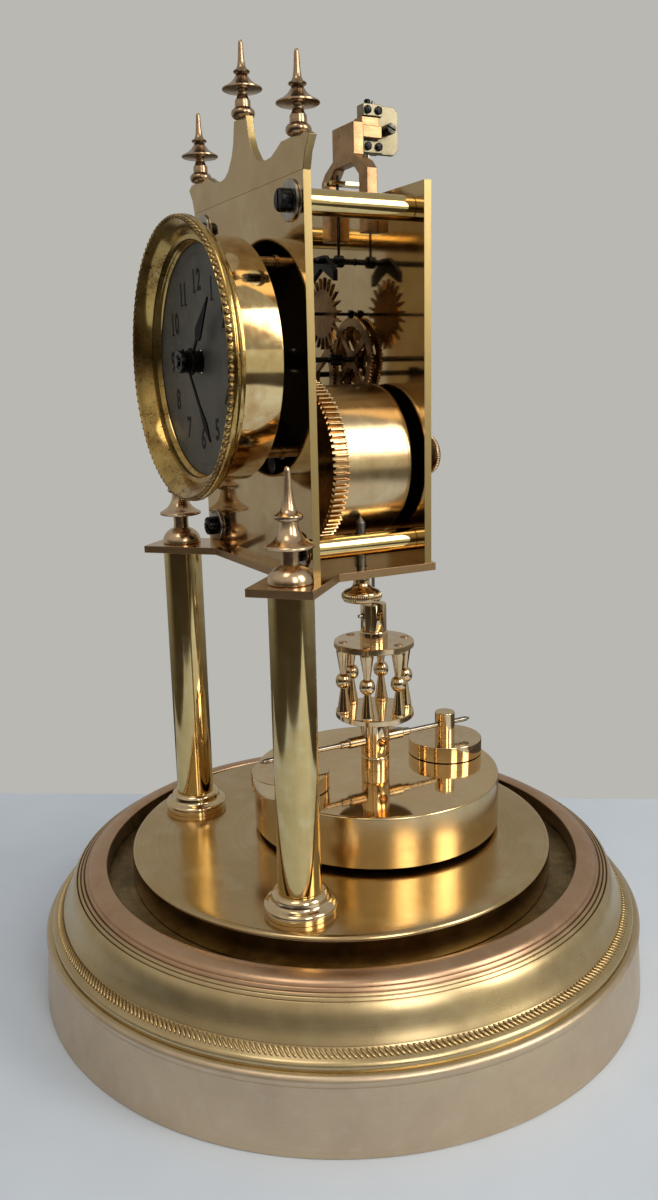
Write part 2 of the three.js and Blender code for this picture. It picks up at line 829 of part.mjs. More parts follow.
// Spring strip from the chops down into the hook
const springWidth = 1.4;
const springThickness = 0.5;

function makeSuspensionSpring() {
  const springBottom = hookTop - hookSlotDepth + fitGap;
  const springTop = chopBottom - fitGap;
  return block(-springWidth / 2, springWidth / 2, -springThickness / 2, springThickness / 2,
    springBottom, springTop);
}

// Fork on the spring, with two tines round the anchor pin
const forkHalfWidth = 2.3;
const forkThickness = 1;
const forkRise = 4.2;
const forkZ = plateTop + forkRise;
const forkRear = 1.6;
const crutchDistance = 5.6;
const crutchY = backPlateFrontY - crutchDistance;
const crutchPinRadius = 0.45;
const forkTinePast = 3.2;
const forkSlotPast = 1.8;
const forkPlay = 0.4;
const forkSlotHalfWidth = crutchPinRadius + forkPlay;
const springHoleRadius = springWidth / 2 + forkPlay;

function makeFork() {
  const reach = pendulumAxisY - crutchY + forkTinePast;
  const slotReach = pendulumAxisY - crutchY - forkSlotPast;
  const shape = outlineShape([
    [-forkHalfWidth, forkRear],
    [-forkHalfWidth, -reach],
    [-forkSlotHalfWidth, -reach],
    [-forkSlotHalfWidth, -slotReach],
    [forkSlotHalfWidth, -slotReach],
    [forkSlotHalfWidth, -reach],
    [forkHalfWidth, -reach],
    [forkHalfWidth, forkRear],
  ]);
  shape.holes.push(roundHole(0, 0, springHoleRadius, 10));
  return sheetAlongZ(shape, 0, forkThickness);
}

// Dial case: an open drum on four feet in front of the front plate
const drumRadius = 34.5;
const drumWall = 0.8;
const drumStandOff = 5;
const drumLength = 12.8;
const drumRearY = frontPlateFrontY - drumStandOff;
const drumFrontY = drumRearY - drumLength;
const dialFootRadius = 1.6;
const dialFootAngle = THREE.MathUtils.degToRad(52);
const dialFootOverlap = 6;

function makeDialCase() {
  const drum = turnedAlongY([
    [drumRadius, drumFrontY],
    [drumRadius, drumRearY],
    [drumRadius - drumWall, drumRearY],
    [drumRadius - drumWall, drumFrontY],
  ], dialSides);
  const footCircle = drumRadius - dialFootRadius - drumWall / 2;
  const feet = [dialFootAngle, Math.PI - dialFootAngle, Math.PI + dialFootAngle, -dialFootAngle];
  const feetSolids = feet.map((angle) => {
    const foot = rodAlongY(dialFootRadius, drumRearY - dialFootOverlap, frontPlateFrontY, 8);
    return foot.translate(footCircle * Math.cos(angle), 0, footCircle * Math.sin(angle));
  });
  return join(drum, ...feetSolids);
}

// Bezel: a knurled rim, a hollow throat to the dial and a flange over the drum
const bezelDepth = 5.3;
const bezelFrontY = drumFrontY - bezelDepth;
const bezelRimRadius = 40.4;
const bezelRimWidth = 2.2;
const bezelRimShare = 0.25;
const bezelStepShares = [[0.78, 0.42], [0.78, 0.62], [0.42, 0.7], [0.42, 0.92]];
const bezelThroatRadius = 39;
const bezelFlangeRadius = 36.8;
const bezelFlangeLap = 0.8;
const bezelFlangeEndY = drumFrontY + bezelFlangeLap;
const bezelSeatY = drumFrontY - fitGap;
const bezelLap = 2.1;
const bezelRearY = drumFrontY + bezelLap;
const dialOpeningRadius = 32.4;
const throatShares = [[0.6, 0.12], [0.28, 0.34], [0.08, 0.68]];

function makeBezel() {
  const throat = throatShares.map(([outShare, backShare]) => [
    dialOpeningRadius + (bezelThroatRadius - dialOpeningRadius) * outShare,
    bezelFrontY + (bezelRearY - bezelFrontY) * backShare,
  ]);
  const steps = bezelStepShares.map(([outShare, backShare]) => [
    bezelFlangeRadius + (bezelRimRadius - bezelFlangeRadius) * outShare,
    bezelFrontY + (bezelFlangeEndY - bezelFrontY) * backShare,
  ]);
  const barrelRadius = drumRadius - drumWall - fitGap;
  return turnedAlongY([
    [bezelThroatRadius, bezelFrontY],
    [bezelRimRadius, bezelFrontY + bezelRimWidth * bezelRimShare],
    [bezelRimRadius, bezelFrontY + bezelRimWidth],
    ...steps,
    [bezelFlangeRadius, bezelFlangeEndY],
    [drumRadius + fitGap, bezelFlangeEndY],
    [drumRadius + fitGap, bezelSeatY],
    [barrelRadius, bezelSeatY],
    [barrelRadius, bezelRearY],
    [dialOpeningRadius, bezelRearY],
    ...throat.reverse(),
  ], dialSides);
}

// Dial plate behind the bezel
const dialThickness = 0.6;
const dialFrontY = bezelRearY + fitGap;
const dialRearY = dialFrontY + dialThickness;
const hourPipeRadius = 2.8;
const dialHoleRadius = hourPipeRadius + 2 * fitGap;
const dialRadius = drumRadius - drumWall - fitGap;

function makeDial() {
  return turnedAlongY([
    [dialHoleRadius, dialFrontY],
    [dialHoleRadius, dialRearY],
    [dialRadius, dialRearY],
    [dialRadius, dialFrontY],
  ], dialSides);
}

// Hands, drawn pointing up and then turned to the time on the dial
const handThickness = 0.5;
const hourHandLength = 22.6;
const hourHandHalfWidth = 2.3;
const hourHubRadius = 4;
const minuteHandLength = 27.4;
const minuteHandHalfWidth = 1.3;
const minuteHubRadius = 3.2;
const handTipHalfWidth = 0.4;
const hoursShown = 1;
const minutesShown = 24;
const hourHandGap = 2.8;
const handGap = 1.4;
const hourHandY = dialFrontY - hourHandGap;
const minuteHandY = hourHandY - handGap;
const minutePipeRadius = 1.9;
const hourHandAngle = 2 * Math.PI * (hoursShown + minutesShown / 60) / 12;
const minuteHandAngle = 2 * Math.PI * minutesShown / 60;
const hourShares = [[0.28, 0.22], [0.3, 0.3], [1, 0.48], [0.4, 0.74]];
const minuteShares = [[0.4, 0.3], [0.4, 0.62], [1, 0.78], [0.5, 0.9]];

function makeHand(shares, length, halfWidth, hubRadius, pipeRadius, angle, tailShare) {
  const outline = shares.map(([wideShare, upShare]) => [halfWidth * wideShare, length * upShare]);
  const rightSide = [
    [halfWidth * shares[0][0], -length * tailShare],
    ...outline,
    [handTipHalfWidth, length],
  ];
  const leftSide = rightSide.map(([x, z]) => [-x, z]).reverse();
  const blade = sheetAlongY(outlineShape([...rightSide, ...leftSide]), -handThickness / 2, handThickness / 2);
  const hub = rodAlongY(hubRadius, -handThickness / 2, handThickness / 2);
  const hole = rodAlongY(pipeRadius + fitGap, -handThickness, handThickness);
  return cut(join(blade, hub), hole).rotateY(angle);
}

const handNutRadius = 3.2;
const handNutThickness = 2.2;
const handNutTopShare = 0.7;
const cannonFrontY = minuteHandY - handThickness;
const handNutRearY = cannonFrontY - fitGap;

function makeHandNut() {
  return turnedAlongY([
    [0, handNutRearY - handNutThickness],
    [handNutRadius * handNutTopShare, handNutRearY - handNutThickness],
    [handNutRadius, handNutRearY - handNutThickness / 2],
    [handNutRadius, handNutRearY],
    [0, handNutRearY],
  ], pinSides);
}

// Cannon pinion, minute wheel and hour wheel
const cannonRearY = frontPlateFrontY - runningGap;
const cannonPinionLength = 3.2;
const pipeShare = 0.9;
const minuteWheelRearY = frontPlateFrontY - 2 * runningGap;
const motionSheet = 1.2;
const minutePinionLength = 4;
const hourWheelRearY = cannonRearY - cannonPinionLength - runningGap;
const hourPipeBore = minutePipeRadius + fitGap;
const hourPipeFrontY = hourHandY - handThickness;
const cannonAngle = 0;
const minuteWheelAngle = meshAngle(centrePlace, cannonAngle, cannonTeeth, minuteWheelPlace, minuteWheelTeeth);
const minutePinionAngle = minuteWheelAngle;
const hourWheelAngle = meshAngle(minuteWheelPlace, minutePinionAngle, minutePinionLeaves,
  centrePlace, hourWheelTeeth);

function makeCannonPinion() {
  const leaves = sheetAlongY(toothedShape(cannonTeeth, motionModule, cannonAngle),
    cannonRearY - cannonPinionLength, cannonRearY);
  const pipe = rodAlongY(minutePipeRadius, cannonFrontY, cannonRearY - cannonPinionLength * pipeShare);
  const bore = rodAlongY(centreArborRadius + fitGap, cannonFrontY - overrun, cannonRearY + overrun);
  return cut(join(leaves, pipe), bore);
}

function makeMinuteWheel() {
  const wheelFrontY = minuteWheelRearY - motionSheet;
  const wheel = sheetAlongY(toothedShape(minuteWheelTeeth, motionModule, minuteWheelAngle),
    wheelFrontY, minuteWheelRearY);
  const pinion = sheetAlongY(toothedShape(minutePinionLeaves, hourModule, minutePinionAngle),
    wheelFrontY - minutePinionLength, wheelFrontY + motionSheet / 2);
  const bore = rodAlongY(minuteStudRadius + fitGap, wheelFrontY - minutePinionLength - overrun,
    minuteWheelRearY + overrun, 8);
  return cut(join(wheel, pinion), bore);
}

function makeHourWheel() {
  const wheel = sheetAlongY(toothedShape(hourWheelTeeth, hourModule, hourWheelAngle),
    hourWheelRearY - motionSheet, hourWheelRearY);
  const pipe = rodAlongY(hourPipeRadius, hourPipeFrontY, hourWheelRearY);
  const bore = rodAlongY(hourPipeBore, hourPipeFrontY - overrun, hourWheelRearY + overrun);
  return cut(join(wheel, pipe), bore);
}

// Going barrel with the great wheel on its front end
const greatWheelInset = 5.8;
const greatWheelFrontY = frontPlateRearY + greatWheelInset;
const greatWheelThickness = 4.5;
const drumEndInset = 2.6;
const drumEndY = backPlateFrontY - drumEndInset;
const barrelRadius = 22.3;
const barrelWall = 1;
const barrelCoverThickness = 1;
const barrelWebThickness = 1.2;
const greatWheelRearY = greatWheelFrontY + greatWheelThickness;
const barrelAngle = 0;

function makeBarrel() {
  const teeth = sheetAlongY(toothedShape(barrelTeeth, barrelModule, barrelAngle),
    greatWheelFrontY, greatWheelRearY);
  const drum = rodAlongY(barrelRadius, greatWheelFrontY + barrelWebThickness / 2, drumEndY, baseSides / 2);
  const hollow = rodAlongY(barrelRadius - barrelWall, greatWheelFrontY + barrelWebThickness,
    drumEndY + overrun, baseSides / 2);
  const hole = rodAlongY(windingArborRadius + fitGap, greatWheelFrontY - overrun, drumEndY + overrun);
  return cut(join(teeth, drum), hollow, hole);
}

function makeBarrelCover() {
  const radius = barrelRadius - barrelWall - fitGap;
  return turnedAlongY([
    [windingArborRadius + fitGap, drumEndY - barrelCoverThickness],
    [windingArborRadius + fitGap, drumEndY],
    [radius, drumEndY],
    [radius, drumEndY - barrelCoverThickness],
  ], baseSides / 2);
}

// Winding arbor with its hub in the barrel, and the knob behind the back plate
const hubInBarrelRadius = 4;
const windingKnobRadius = 6;
const windingKnobThickness = 3.2;
const windingKnobStandOff = 14.2;
const windingKnobFrontY = backPlateRearY + windingKnobStandOff;
const knobSeatDepth = 2;
const knobBackShare = 0.6;
const knobFrontShare = 0.7;
const knobRimShares = [0.25, 0.5];
const springFrontY = greatWheelFrontY + barrelWebThickness + runningGap;
const springRearY = drumEndY - barrelCoverThickness - runningGap;

function makeWindingArbor() {
  return turnedAlongY([
    [0, frontPlateFrontY],
    [windingArborRadius, frontPlateFrontY],
    [windingArborRadius, springFrontY],
    [hubInBarrelRadius, springFrontY],
    [hubInBarrelRadius, springRearY],
    [windingArborRadius, springRearY],
    [windingArborRadius, windingKnobFrontY + knobSeatDepth - fitGap],
    [0, windingKnobFrontY + knobSeatDepth - fitGap],
  ], pinSides);
}

function makeWindingKnob() {
  return turnedAlongY([
    [0, windingKnobThickness],
    [windingKnobRadius * knobBackShare, windingKnobThickness],
    [windingKnobRadius, windingKnobThickness * knobRimShares[1]],
    [windingKnobRadius, windingKnobThickness * knobRimShares[0]],
    [windingKnobRadius * knobFrontShare, 0],
    [windingArborRadius + fitGap, 0],
    [windingArborRadius + fitGap, knobSeatDepth],
    [0, knobSeatDepth],
  ], smallSides);
}

// Mainspring: a flat spiral of steel between the hub and the barrel wall
const mainspringTurns = 5;
const mainspringThickness = 0.5;
const mainspringInner = hubInBarrelRadius + fitGap;
const mainspringOuter = barrelRadius - barrelWall - runningGap;
const stepsPerTurn = 12;

function makeMainspring() {
  const steps = mainspringTurns * stepsPerTurn;
  const growth = (mainspringOuter - mainspringInner - mainspringThickness) / steps;
  const inner = [];
  const outer = [];
  for (let i = 0; i <= steps; i += 1) {
    const angle = 2 * Math.PI * i / stepsPerTurn;
    const radius = mainspringInner + growth * i;
    inner.push([radius * Math.cos(angle), radius * Math.sin(angle)]);
    const outerRadius = radius + mainspringThickness;
    outer.push([outerRadius * Math.cos(angle), outerRadius * Math.sin(angle)]);
  }
  return sheetAlongY(outlineShape([...outer, ...inner.reverse()]), springFrontY, springRearY);
}

// Ratchet wheel and click behind the back plate
const ratchetTeeth = 24;
const ratchetRadius = 8.5;
const ratchetDepth = 1.2;
const ratchetRootShare = 0.15;
const ratchetThickness = 1.5;
const ratchetFrontY = backPlateRearY + runningGap;
const clickPivotAngle = THREE.MathUtils.degToRad(40);
const clickPivotDistance = 12.5;
const clickHubRadius = 2.2;
const clickBladeShares = [0.6, 0.8];
const clickTipAngle = THREE.MathUtils.degToRad(5);
const clickTipWidth = 1.6;
const clickTipGap = 0.5;

function makeRatchetWheel() {
  const points = [];
  for (let i = 0; i < ratchetTeeth; i += 1) {
    const angle = 2 * Math.PI * i / ratchetTeeth;
    const root = angle + 2 * Math.PI * ratchetRootShare / ratchetTeeth;
    const rootRadius = ratchetRadius - ratchetDepth;
    points.push([ratchetRadius * Math.cos(angle), ratchetRadius * Math.sin(angle)]);
    points.push([rootRadius * Math.cos(root), rootRadius * Math.sin(root)]);
  }
  const shape = outlineShape(points);
  shape.holes.push(roundHole(0, 0, windingArborRadius + fitGap));
  return sheetAlongY(shape, ratchetFrontY, ratchetFrontY + ratchetThickness);
}

// Blade from the click's hub to a tip that stands just off the ratchet teeth
function makeClick() {
  const pivotWay = new THREE.Vector2(Math.cos(clickPivotAngle), Math.sin(clickPivotAngle));
  const tipWay = new THREE.Vector2(Math.cos(clickTipAngle), Math.sin(clickTipAngle));
  const tipDistance = ratchetRadius + clickTipGap;
  const corners = [
    tipWay.clone().multiplyScalar(tipDistance),
    tipWay.clone().multiplyScalar(tipDistance + clickTipWidth),
    pivotWay.clone().multiplyScalar(clickPivotDistance + clickHubRadius * clickBladeShares[0]),
    pivotWay.clone().multiplyScalar(clickPivotDistance - clickHubRadius * clickBladeShares[1]),
  ];
  const pivot = pivotWay.clone().multiplyScalar(clickPivotDistance);
  const shape = new THREE.Shape(corners.map((corner) => corner.sub(pivot)));
  const blade = sheetAlongY(shape, ratchetFrontY, ratchetFrontY + ratchetThickness);
  const hub = rodAlongY(clickHubRadius, ratchetFrontY, ratchetFrontY + ratchetThickness);
  const stud = rodAlongY(clickHubRadius / 2, backPlateRearY, ratchetFrontY + ratchetThickness);
  return join(blade, hub, stud);
}

// Wheels on their arbors
const secondWheelInset = 2.8;
const thirdWheelInset = 7.8;
const escapeWheelInset = 11.8;
const secondWheelFrontY = frontPlateRearY + secondWheelInset;
const thirdWheelFrontY = backPlateFrontY - thirdWheelInset;
const centreWheelFrontY = drumEndY + runningGap;
const wheelThickness = 1.2;
const pinionSpread = 1.4;
const escapeWheelFrontY = backPlateFrontY - escapeWheelInset;
const escapeWheelThickness = 1.1;
const pinionSideGap = 0.5;
const arborFrontY = frontPlateFrontY;
const arborRearY = backPlateRearY;

const secondPinionAngle = meshAngle(barrelPlace, barrelAngle, barrelTeeth, secondPlace, trainPinionLeaves);
const secondWheelAngle = secondPinionAngle;
const thirdPinionAngle = meshAngle(secondPlace, secondWheelAngle, secondTeeth, thirdPlace, trainPinionLeaves);
const thirdWheelAngle = thirdPinionAngle;
const centrePinionAngle = meshAngle(thirdPlace, thirdWheelAngle, thirdTeeth, centrePlace, trainPinionLeaves);
const centreWheelAngle = centrePinionAngle;
const escapePinionAngle = meshAngle(centrePlace, centreWheelAngle, centreTeeth, escapePlace, escapePinionLeaves);

// Wheel, pinion and arbor in one, about its own axis
function makeArbor(wheelShape, wheelFromY, wheelThick, pinionShape, pinionMiddleY, pinionLength, radius, fromY) {
  const wheel = sheetAlongY(wheelShape, wheelFromY, wheelFromY + wheelThick);
  const pinion = sheetAlongY(pinionShape, pinionMiddleY - pinionLength / 2, pinionMiddleY + pinionLength / 2);
  return join(wheel, pinion, rodAlongY(radius, fromY, arborRearY, 8));
}

function spokedWheelShape(teeth, module, angle) {
  const shape = toothedShape(teeth, module, angle);
  addSpokes(shape, module * teeth / 2, angle);
  return shape;
}

function makeSecondWheel() {
  return makeArbor(
    spokedWheelShape(secondTeeth, secondModule, secondWheelAngle), secondWheelFrontY, wheelThickness,
    toothedShape(trainPinionLeaves, barrelModule, secondPinionAngle),
    (greatWheelFrontY + greatWheelRearY) / 2, greatWheelThickness + pinionSpread,
    arborRadius, arborFrontY,
  );
}

function makeThirdWheel() {
  return makeArbor(
    spokedWheelShape(thirdTeeth, thirdModule, thirdWheelAngle), thirdWheelFrontY, wheelThickness,
    toothedShape(trainPinionLeaves, secondModule, thirdPinionAngle),
    secondWheelFrontY + wheelThickness / 2, wheelThickness + pinionSpread * 2,
    arborRadius, arborFrontY,
  );
}

function makeCentreWheel() {
  return makeArbor(
    spokedWheelShape(centreTeeth, centreModule, centreWheelAngle), centreWheelFrontY, wheelThickness - fitGap,
    toothedShape(trainPinionLeaves, thirdModule, centrePinionAngle),
    thirdWheelFrontY + wheelThickness / 2, wheelThickness + pinionSpread * 2,
    centreArborRadius, cannonFrontY,
  );
}

// Escape wheel with slender teeth that lean forward
const escapeToothDepth = 3.4;
const escapeRootShare = 0.62;
const escapeTipShare = 0.12;
const escapeRootEndShare = 0.9;

function makeEscapeWheel() {
  const points = [];
  const step = 2 * Math.PI / escapeTeeth;
  const rootRadius = escapeRadius - escapeToothDepth;
  for (let i = 0; i < escapeTeeth; i += 1) {
    const angle = step * i;
    const corners = [
      [escapeRadius, angle],
      [escapeRadius, angle + step * escapeTipShare],
      [rootRadius, angle + step * (1 - escapeRootShare)],
      [rootRadius, angle + step * escapeRootEndShare],
    ];
    points.push(...corners.map(([radius, way]) => [radius * Math.cos(way), radius * Math.sin(way)]));
  }
  return makeArbor(
    outlineShape(points), escapeWheelFrontY, escapeWheelThickness,
    toothedShape(escapePinionLeaves, centreModule, escapePinionAngle),
    centreWheelFrontY + wheelThickness / 2 - pinionSideGap / 2, wheelThickness + pinionSideGap,
    escapeArborRadius, arborFrontY,
  );
}

// Anchor with two pallets above the escape wheel, its arbor and the pin that the fork holds
const palletSpread = 7.2;
const palletClearance = 0.9;
const palletWidth = 1.6;
const anchorArmHeight = 1.4;
const anchorHubRadius = 2.2;
const anchorThickness = 1.6;
const crutchPinPast = 2;
const crutchPinTop = forkZ + forkThickness + crutchPinPast;
const crutchCollarRadius = 1.8;
const crutchCollarLength = 2.4;

function makeAnchor() {
  const palletTipZ = Math.sqrt((escapeRadius + palletClearance) ** 2 - palletSpread ** 2) - anchorDistance;
  const half = palletWidth / 2;
  const rightSide = [
    [palletSpread - half, palletTipZ + half],
    [palletSpread + half, palletTipZ],
    [palletSpread + half, palletTipZ + palletWidth * 2],
    [anchorHubRadius, anchorArmHeight],
  ];
  const leftSide = rightSide.map(([x, z]) => [-x, z]).reverse();
  const shape = outlineShape([...rightSide, ...leftSide, [0, -anchorHubRadius]]);
  const middleY = escapeWheelFrontY + escapeWheelThickness / 2;
  const body = sheetAlongY(shape, middleY - anchorThickness / 2, middleY + anchorThickness / 2);
  const arbor = rodAlongY(arborRadius, arborFrontY, arborRearY, 8);
  const collar = rodAlongY(crutchCollarRadius, crutchY - crutchCollarLength / 2, crutchY + crutchCollarLength / 2);
  const pin = rodAlongZ(crutchPinRadius, 0, crutchPinTop - anchorPlace.y, 8).translate(0, crutchY, 0);
  return join(body, arbor, collar, pin);
}

// Pendulum, each piece about the pendulum's axis
function makeHook() {
  const body = rodAlongZ(hookRadius, hookBottom, hookTop, smallSides);
  const slot = block(-hookRadius - overrun, hookRadius + overrun, -hookSlotWidth / 2, hookSlotWidth / 2,
    hookTop - hookSlotDepth, hookTop + overrun);
  return cut(body, slot);
}

function makeGalleryTop() {
  return turned([
    [0, galleryTop - gallerySheet],
    [galleryRadius, galleryTop - gallerySheet],
    [galleryRadius, galleryTop],
    [hubRadius, galleryTop],
    [hubRadius, hookBottom],
    [0, hookBottom],
  ], dialSides / 2);
}

function makeGalleryBottom() {
  const balusterHeight = galleryTop - gallerySheet - galleryBottom;
  const middle = galleryBottom + (balusterHeight + gallerySheet) / 2;
  const plate = rodAlongZ(galleryLowerRadius, galleryBottom, galleryBottom + gallerySheet, dialSides / 2);
  const outline = [
    [0, galleryBottom + gallerySheet / 2],
    [balusterEndRadius, galleryBottom + gallerySheet / 2],
    [balusterEndRadius, galleryBottom + gallerySheet + gallerySheet / 2],
    [balusterWaistRadius, middle - balusterBallRadius],
    [balusterBallRadius, middle - balusterBallRadius / 3],
    [balusterBallRadius, middle + balusterBallRadius / 3],
    [balusterWaistRadius, middle + balusterBallRadius],
    [balusterEndRadius, galleryBottom + balusterHeight - gallerySheet / 2],
    [balusterEndRadius, galleryBottom + balusterHeight],
    [0, galleryBottom + balusterHeight],
  ];
  const balusters = [];
  for (let i = 0; i < balusterCount; i += 1) {
    const angle = balusterPhase + 2 * Math.PI * i / balusterCount;
    balusters.push(turned(outline, 8)
      .translate(balusterCircle * Math.cos(angle), balusterCircle * Math.sin(angle), 0));
  }
  return join(plate, ...balusters);
}

function makePost() {
  const grooveZ = diskTop + postGrooveHeight;
  const body = turned([
    [0, diskTop],
    [postRadius, diskTop],
    [postRadius, grooveZ - postGrooveDepth],
    [postRadius - postGrooveDepth, grooveZ],
    [postRadius, grooveZ + postGrooveDepth],
    [postRadius, galleryBottom],
    [0, galleryBottom],
  ], smallSides);
  const bore = rodAlongY(rodBoreRadius, -postRadius - overrun, postRadius + overrun);
  const keyHole = rodAlongY(postKeyHoleRadius, 0, postRadius + overrun).rotateZ(-Math.PI / 2);
  return cut(body, bore.translate(0, 0, rodHeight), keyHole.translate(0, 0, rodHeight));
}

function makeRod() {
  const bar = rodAlongY(rodRadius, -rodHalfLength, rodHalfLength, 8);
  const sleeves = [-1, 1].map((side) => {
    const ends = [side * (postRadius + fitGap) - rodShift, side * sleeveReach];
    return rodAlongY(sleeveRadius, Math.min(...ends), Math.max(...ends));
  });
  return join(bar, ...sleeves).translate(0, 0, rodHeight);
}

function makeWeight() {
  const bottom = diskTop + weightLift;
  const body = turned([
    [0, bottom],
    [weightRadius, bottom],
    [weightRadius, bottom + weightDiskHeight - weightBevel],
    [weightRadius - weightBevel, bottom + weightDiskHeight],
    [weightPostRadius, bottom + weightDiskHeight],
    [weightPostRadius, weightTop],
    [0, weightTop],
  ], dialSides / 2);
  const bore = rodAlongY(rodBoreRadius, -weightRadius - overrun, weightRadius + overrun);
  return cut(body, bore.translate(0, 0, rodHeight));
}

function makeDisk() {
  return turned([
    [0, diskBottom],
    [diskRadius - diskBevel / 2, diskBottom],
    [diskRadius, diskBottom + diskBevel / 2],
    [diskRadius, diskTop - diskBevel],
    [diskRadius - diskBevel, diskTop],
    [0, diskTop],
  ], diskSides);
}

const baseGroup = group(
  piece('base_shell', makeBaseShell(), 'basePink'),
  piece('base_tray', makeBaseTray(), 'darkBrass'),
  piece('base_plateau', makePlateau(), 'brass'),
);

const columnPieces = [];
for (const [side, x] of [['left', -columnX], ['right', columnX]]) {
  columnPieces.push(piece(`${side}_column_foot`, makeColumnFoot(), 'roseBrass', x, columnAxisY, plateauTop));
  columnPieces.push(piece(`${side}_column`, makeColumn(), 'brass', x, columnAxisY, columnBottom));
  columnPieces.push(piece(`${side}_column_finial`, makeColumnFinial(), 'roseBrass', x, columnAxisY, platformTop));
}

const framePieces = [
  piece('platform', makePlatform(), 'brass'),
  piece('front_plate', makeFrontPlate(), 'brass'),
  piece('back_plate', makeBackPlate(), 'brass'),
  piece('gable', makeGable(), 'brass', 0, frontPlateFrontY, plateTop),
];
for (const [level, z] of [['top', pillarTopZ], ['bottom', pillarBottomZ]]) {
  for (const [side, x] of [['left', -pillarX], ['right', pillarX]]) {
    const pillar = makePillar(level === 'bottom');
    framePieces.push(piece(`${level}_${side}_pillar`, pillar, 'brass', x, frontPlateRearY, z));
    framePieces.push(piece(`${level}_${side}_screw`, makePillarScrew(), 'bluedSteel', x, frontPlateFrontY, z));
  }
}
for (const [side, x] of [['left', -pillarX], ['right', pillarX]]) {
  framePieces.push(piece(`${side}_thumbscrew`, makeThumbscrew(), 'roseBrass', x, pillarMiddleY, platformBottom));
}
const gableMiddleY = frontPlateFrontY + plateThickness / 2;
const gableFinials = [
  ['left', -gableFinialX, gableShoulderHeight],
  ['centre', 0, towerHeight],
  ['right', gableFinialX, gableShoulderHeight],
];
for (const [side, x, height] of gableFinials) {
  const place = [x, gableMiddleY, plateTop + height];
  framePieces.push(piece(`gable_finial_${side}`, makeGableFinial(), 'roseBrass', ...place));
}

const suspensionGroup = group(
  piece('suspension_cock', makeCock(), 'roseBrass'),
  piece('suspension_chops', makeChops(), 'steel'),
  piece('chop_screw', makeChopScrew(), 'bluedSteel', chopPlateHalfThickness + fitGap, chopScrewY, chopScrewZ),
  piece('suspension_spring', makeSuspensionSpring(), 'steel', 0, pendulumAxisY, 0),
  piece('fork', makeFork(), 'brass', 0, pendulumAxisY, forkZ),
);

const dialGroup = group(
  piece('dial_case', makeDialCase(), 'brass'),
  piece('bezel', makeBezel(), 'darkBrass'),
  piece('dial', makeDial(), 'silvered'),
  piece('hour_hand', makeHand(hourShares, hourHandLength, hourHandHalfWidth, hourHubRadius, hourPipeRadius,
    hourHandAngle, 0), 'bluedSteel', 0, hourHandY, 0),
  piece('minute_hand', makeHand(minuteShares, minuteHandLength, minuteHandHalfWidth, minuteHubRadius, minutePipeRadius,
    minuteHandAngle, 0.2), 'bluedSteel', 0, minuteHandY, 0),
  piece('hand_nut', makeHandNut(), 'steel'),
  piece('cannon_pinion', makeCannonPinion(), 'steel'),
  piece('minute_wheel', makeMinuteWheel(), 'brass', minuteWheelPlace.x, 0, 0),
  piece('hour_wheel', makeHourWheel(), 'brass'),
);
dialGroup.position.z = dialCentreZ;

const clickPlace = new THREE.Vector2(Math.cos(clickPivotAngle), Math.sin(clickPivotAngle))
  .multiplyScalar(clickPivotDistance)
  .add(barrelPlace);
const trainGroup = group(
  piece('barrel', makeBarrel(), 'brass', barrelPlace.x, 0, barrelPlace.y),
  piece('barrel_cover', makeBarrelCover(), 'darkBrass', barrelPlace.x, 0, barrelPlace.y),
  piece('winding_arbor', makeWindingArbor(), 'steel', barrelPlace.x, 0, barrelPlace.y),
  piece('winding_knob', makeWindingKnob(), 'roseBrass', barrelPlace.x, windingKnobFrontY, barrelPlace.y),
  piece('mainspring', makeMainspring(), 'bluedSteel', barrelPlace.x, 0, barrelPlace.y),
  piece('ratchet_wheel', makeRatchetWheel(), 'steel', barrelPlace.x, 0, barrelPlace.y),
  piece('click', makeClick(), 'steel', clickPlace.x, 0, clickPlace.y),
  piece('second_wheel', makeSecondWheel(), 'darkBrass', secondPlace.x, 0, secondPlace.y),
  piece('third_wheel', makeThirdWheel(), 'darkBrass', thirdPlace.x, 0, thirdPlace.y),
  piece('centre_wheel', makeCentreWheel(), 'darkBrass', centrePlace.x, 0, centrePlace.y),
  piece('escape_wheel', makeEscapeWheel(), 'darkBrass', escapePlace.x, 0, escapePlace.y),
  piece('anchor', makeAnchor(), 'bluedSteel', anchorPlace.x, 0, anchorPlace.y),
);

const pendulumGroup = group(
  piece('pendulum_hook', makeHook(), 'roseBrass'),
  piece('gallery_top', makeGalleryTop(), 'roseBrass'),
  piece('gallery_bottom', makeGalleryBottom(), 'roseBrass'),
  piece('pendulum_post', makePost(), 'roseBrass'),
  piece('regulating_rod', makeRod(), 'steel', 0, rodShift, 0),
  piece('front_weight', makeWeight(), 'roseBrass', 0, rodShift - weightOffset, 0),
  piece('rear_weight', makeWeight(), 'roseBrass', 0, rodShift + weightOffset, 0),
  piece('pendulum_disk', makeDisk(), 'roseBrass'),
);
pendulumGroup.position.y = pendulumAxisY;

const clock = group(
  baseGroup,
  group(...columnPieces),
  group(...framePieces),
  suspensionGroup,
  dialGroup,
  trainGroup,
  pendulumGroup,
);

export default clock;
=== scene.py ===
# Anniversary clock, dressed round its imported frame. Pieces are modelled in millimetres, then set in metres.
import json
import math

import bpy
from mathutils import Matrix, Vector

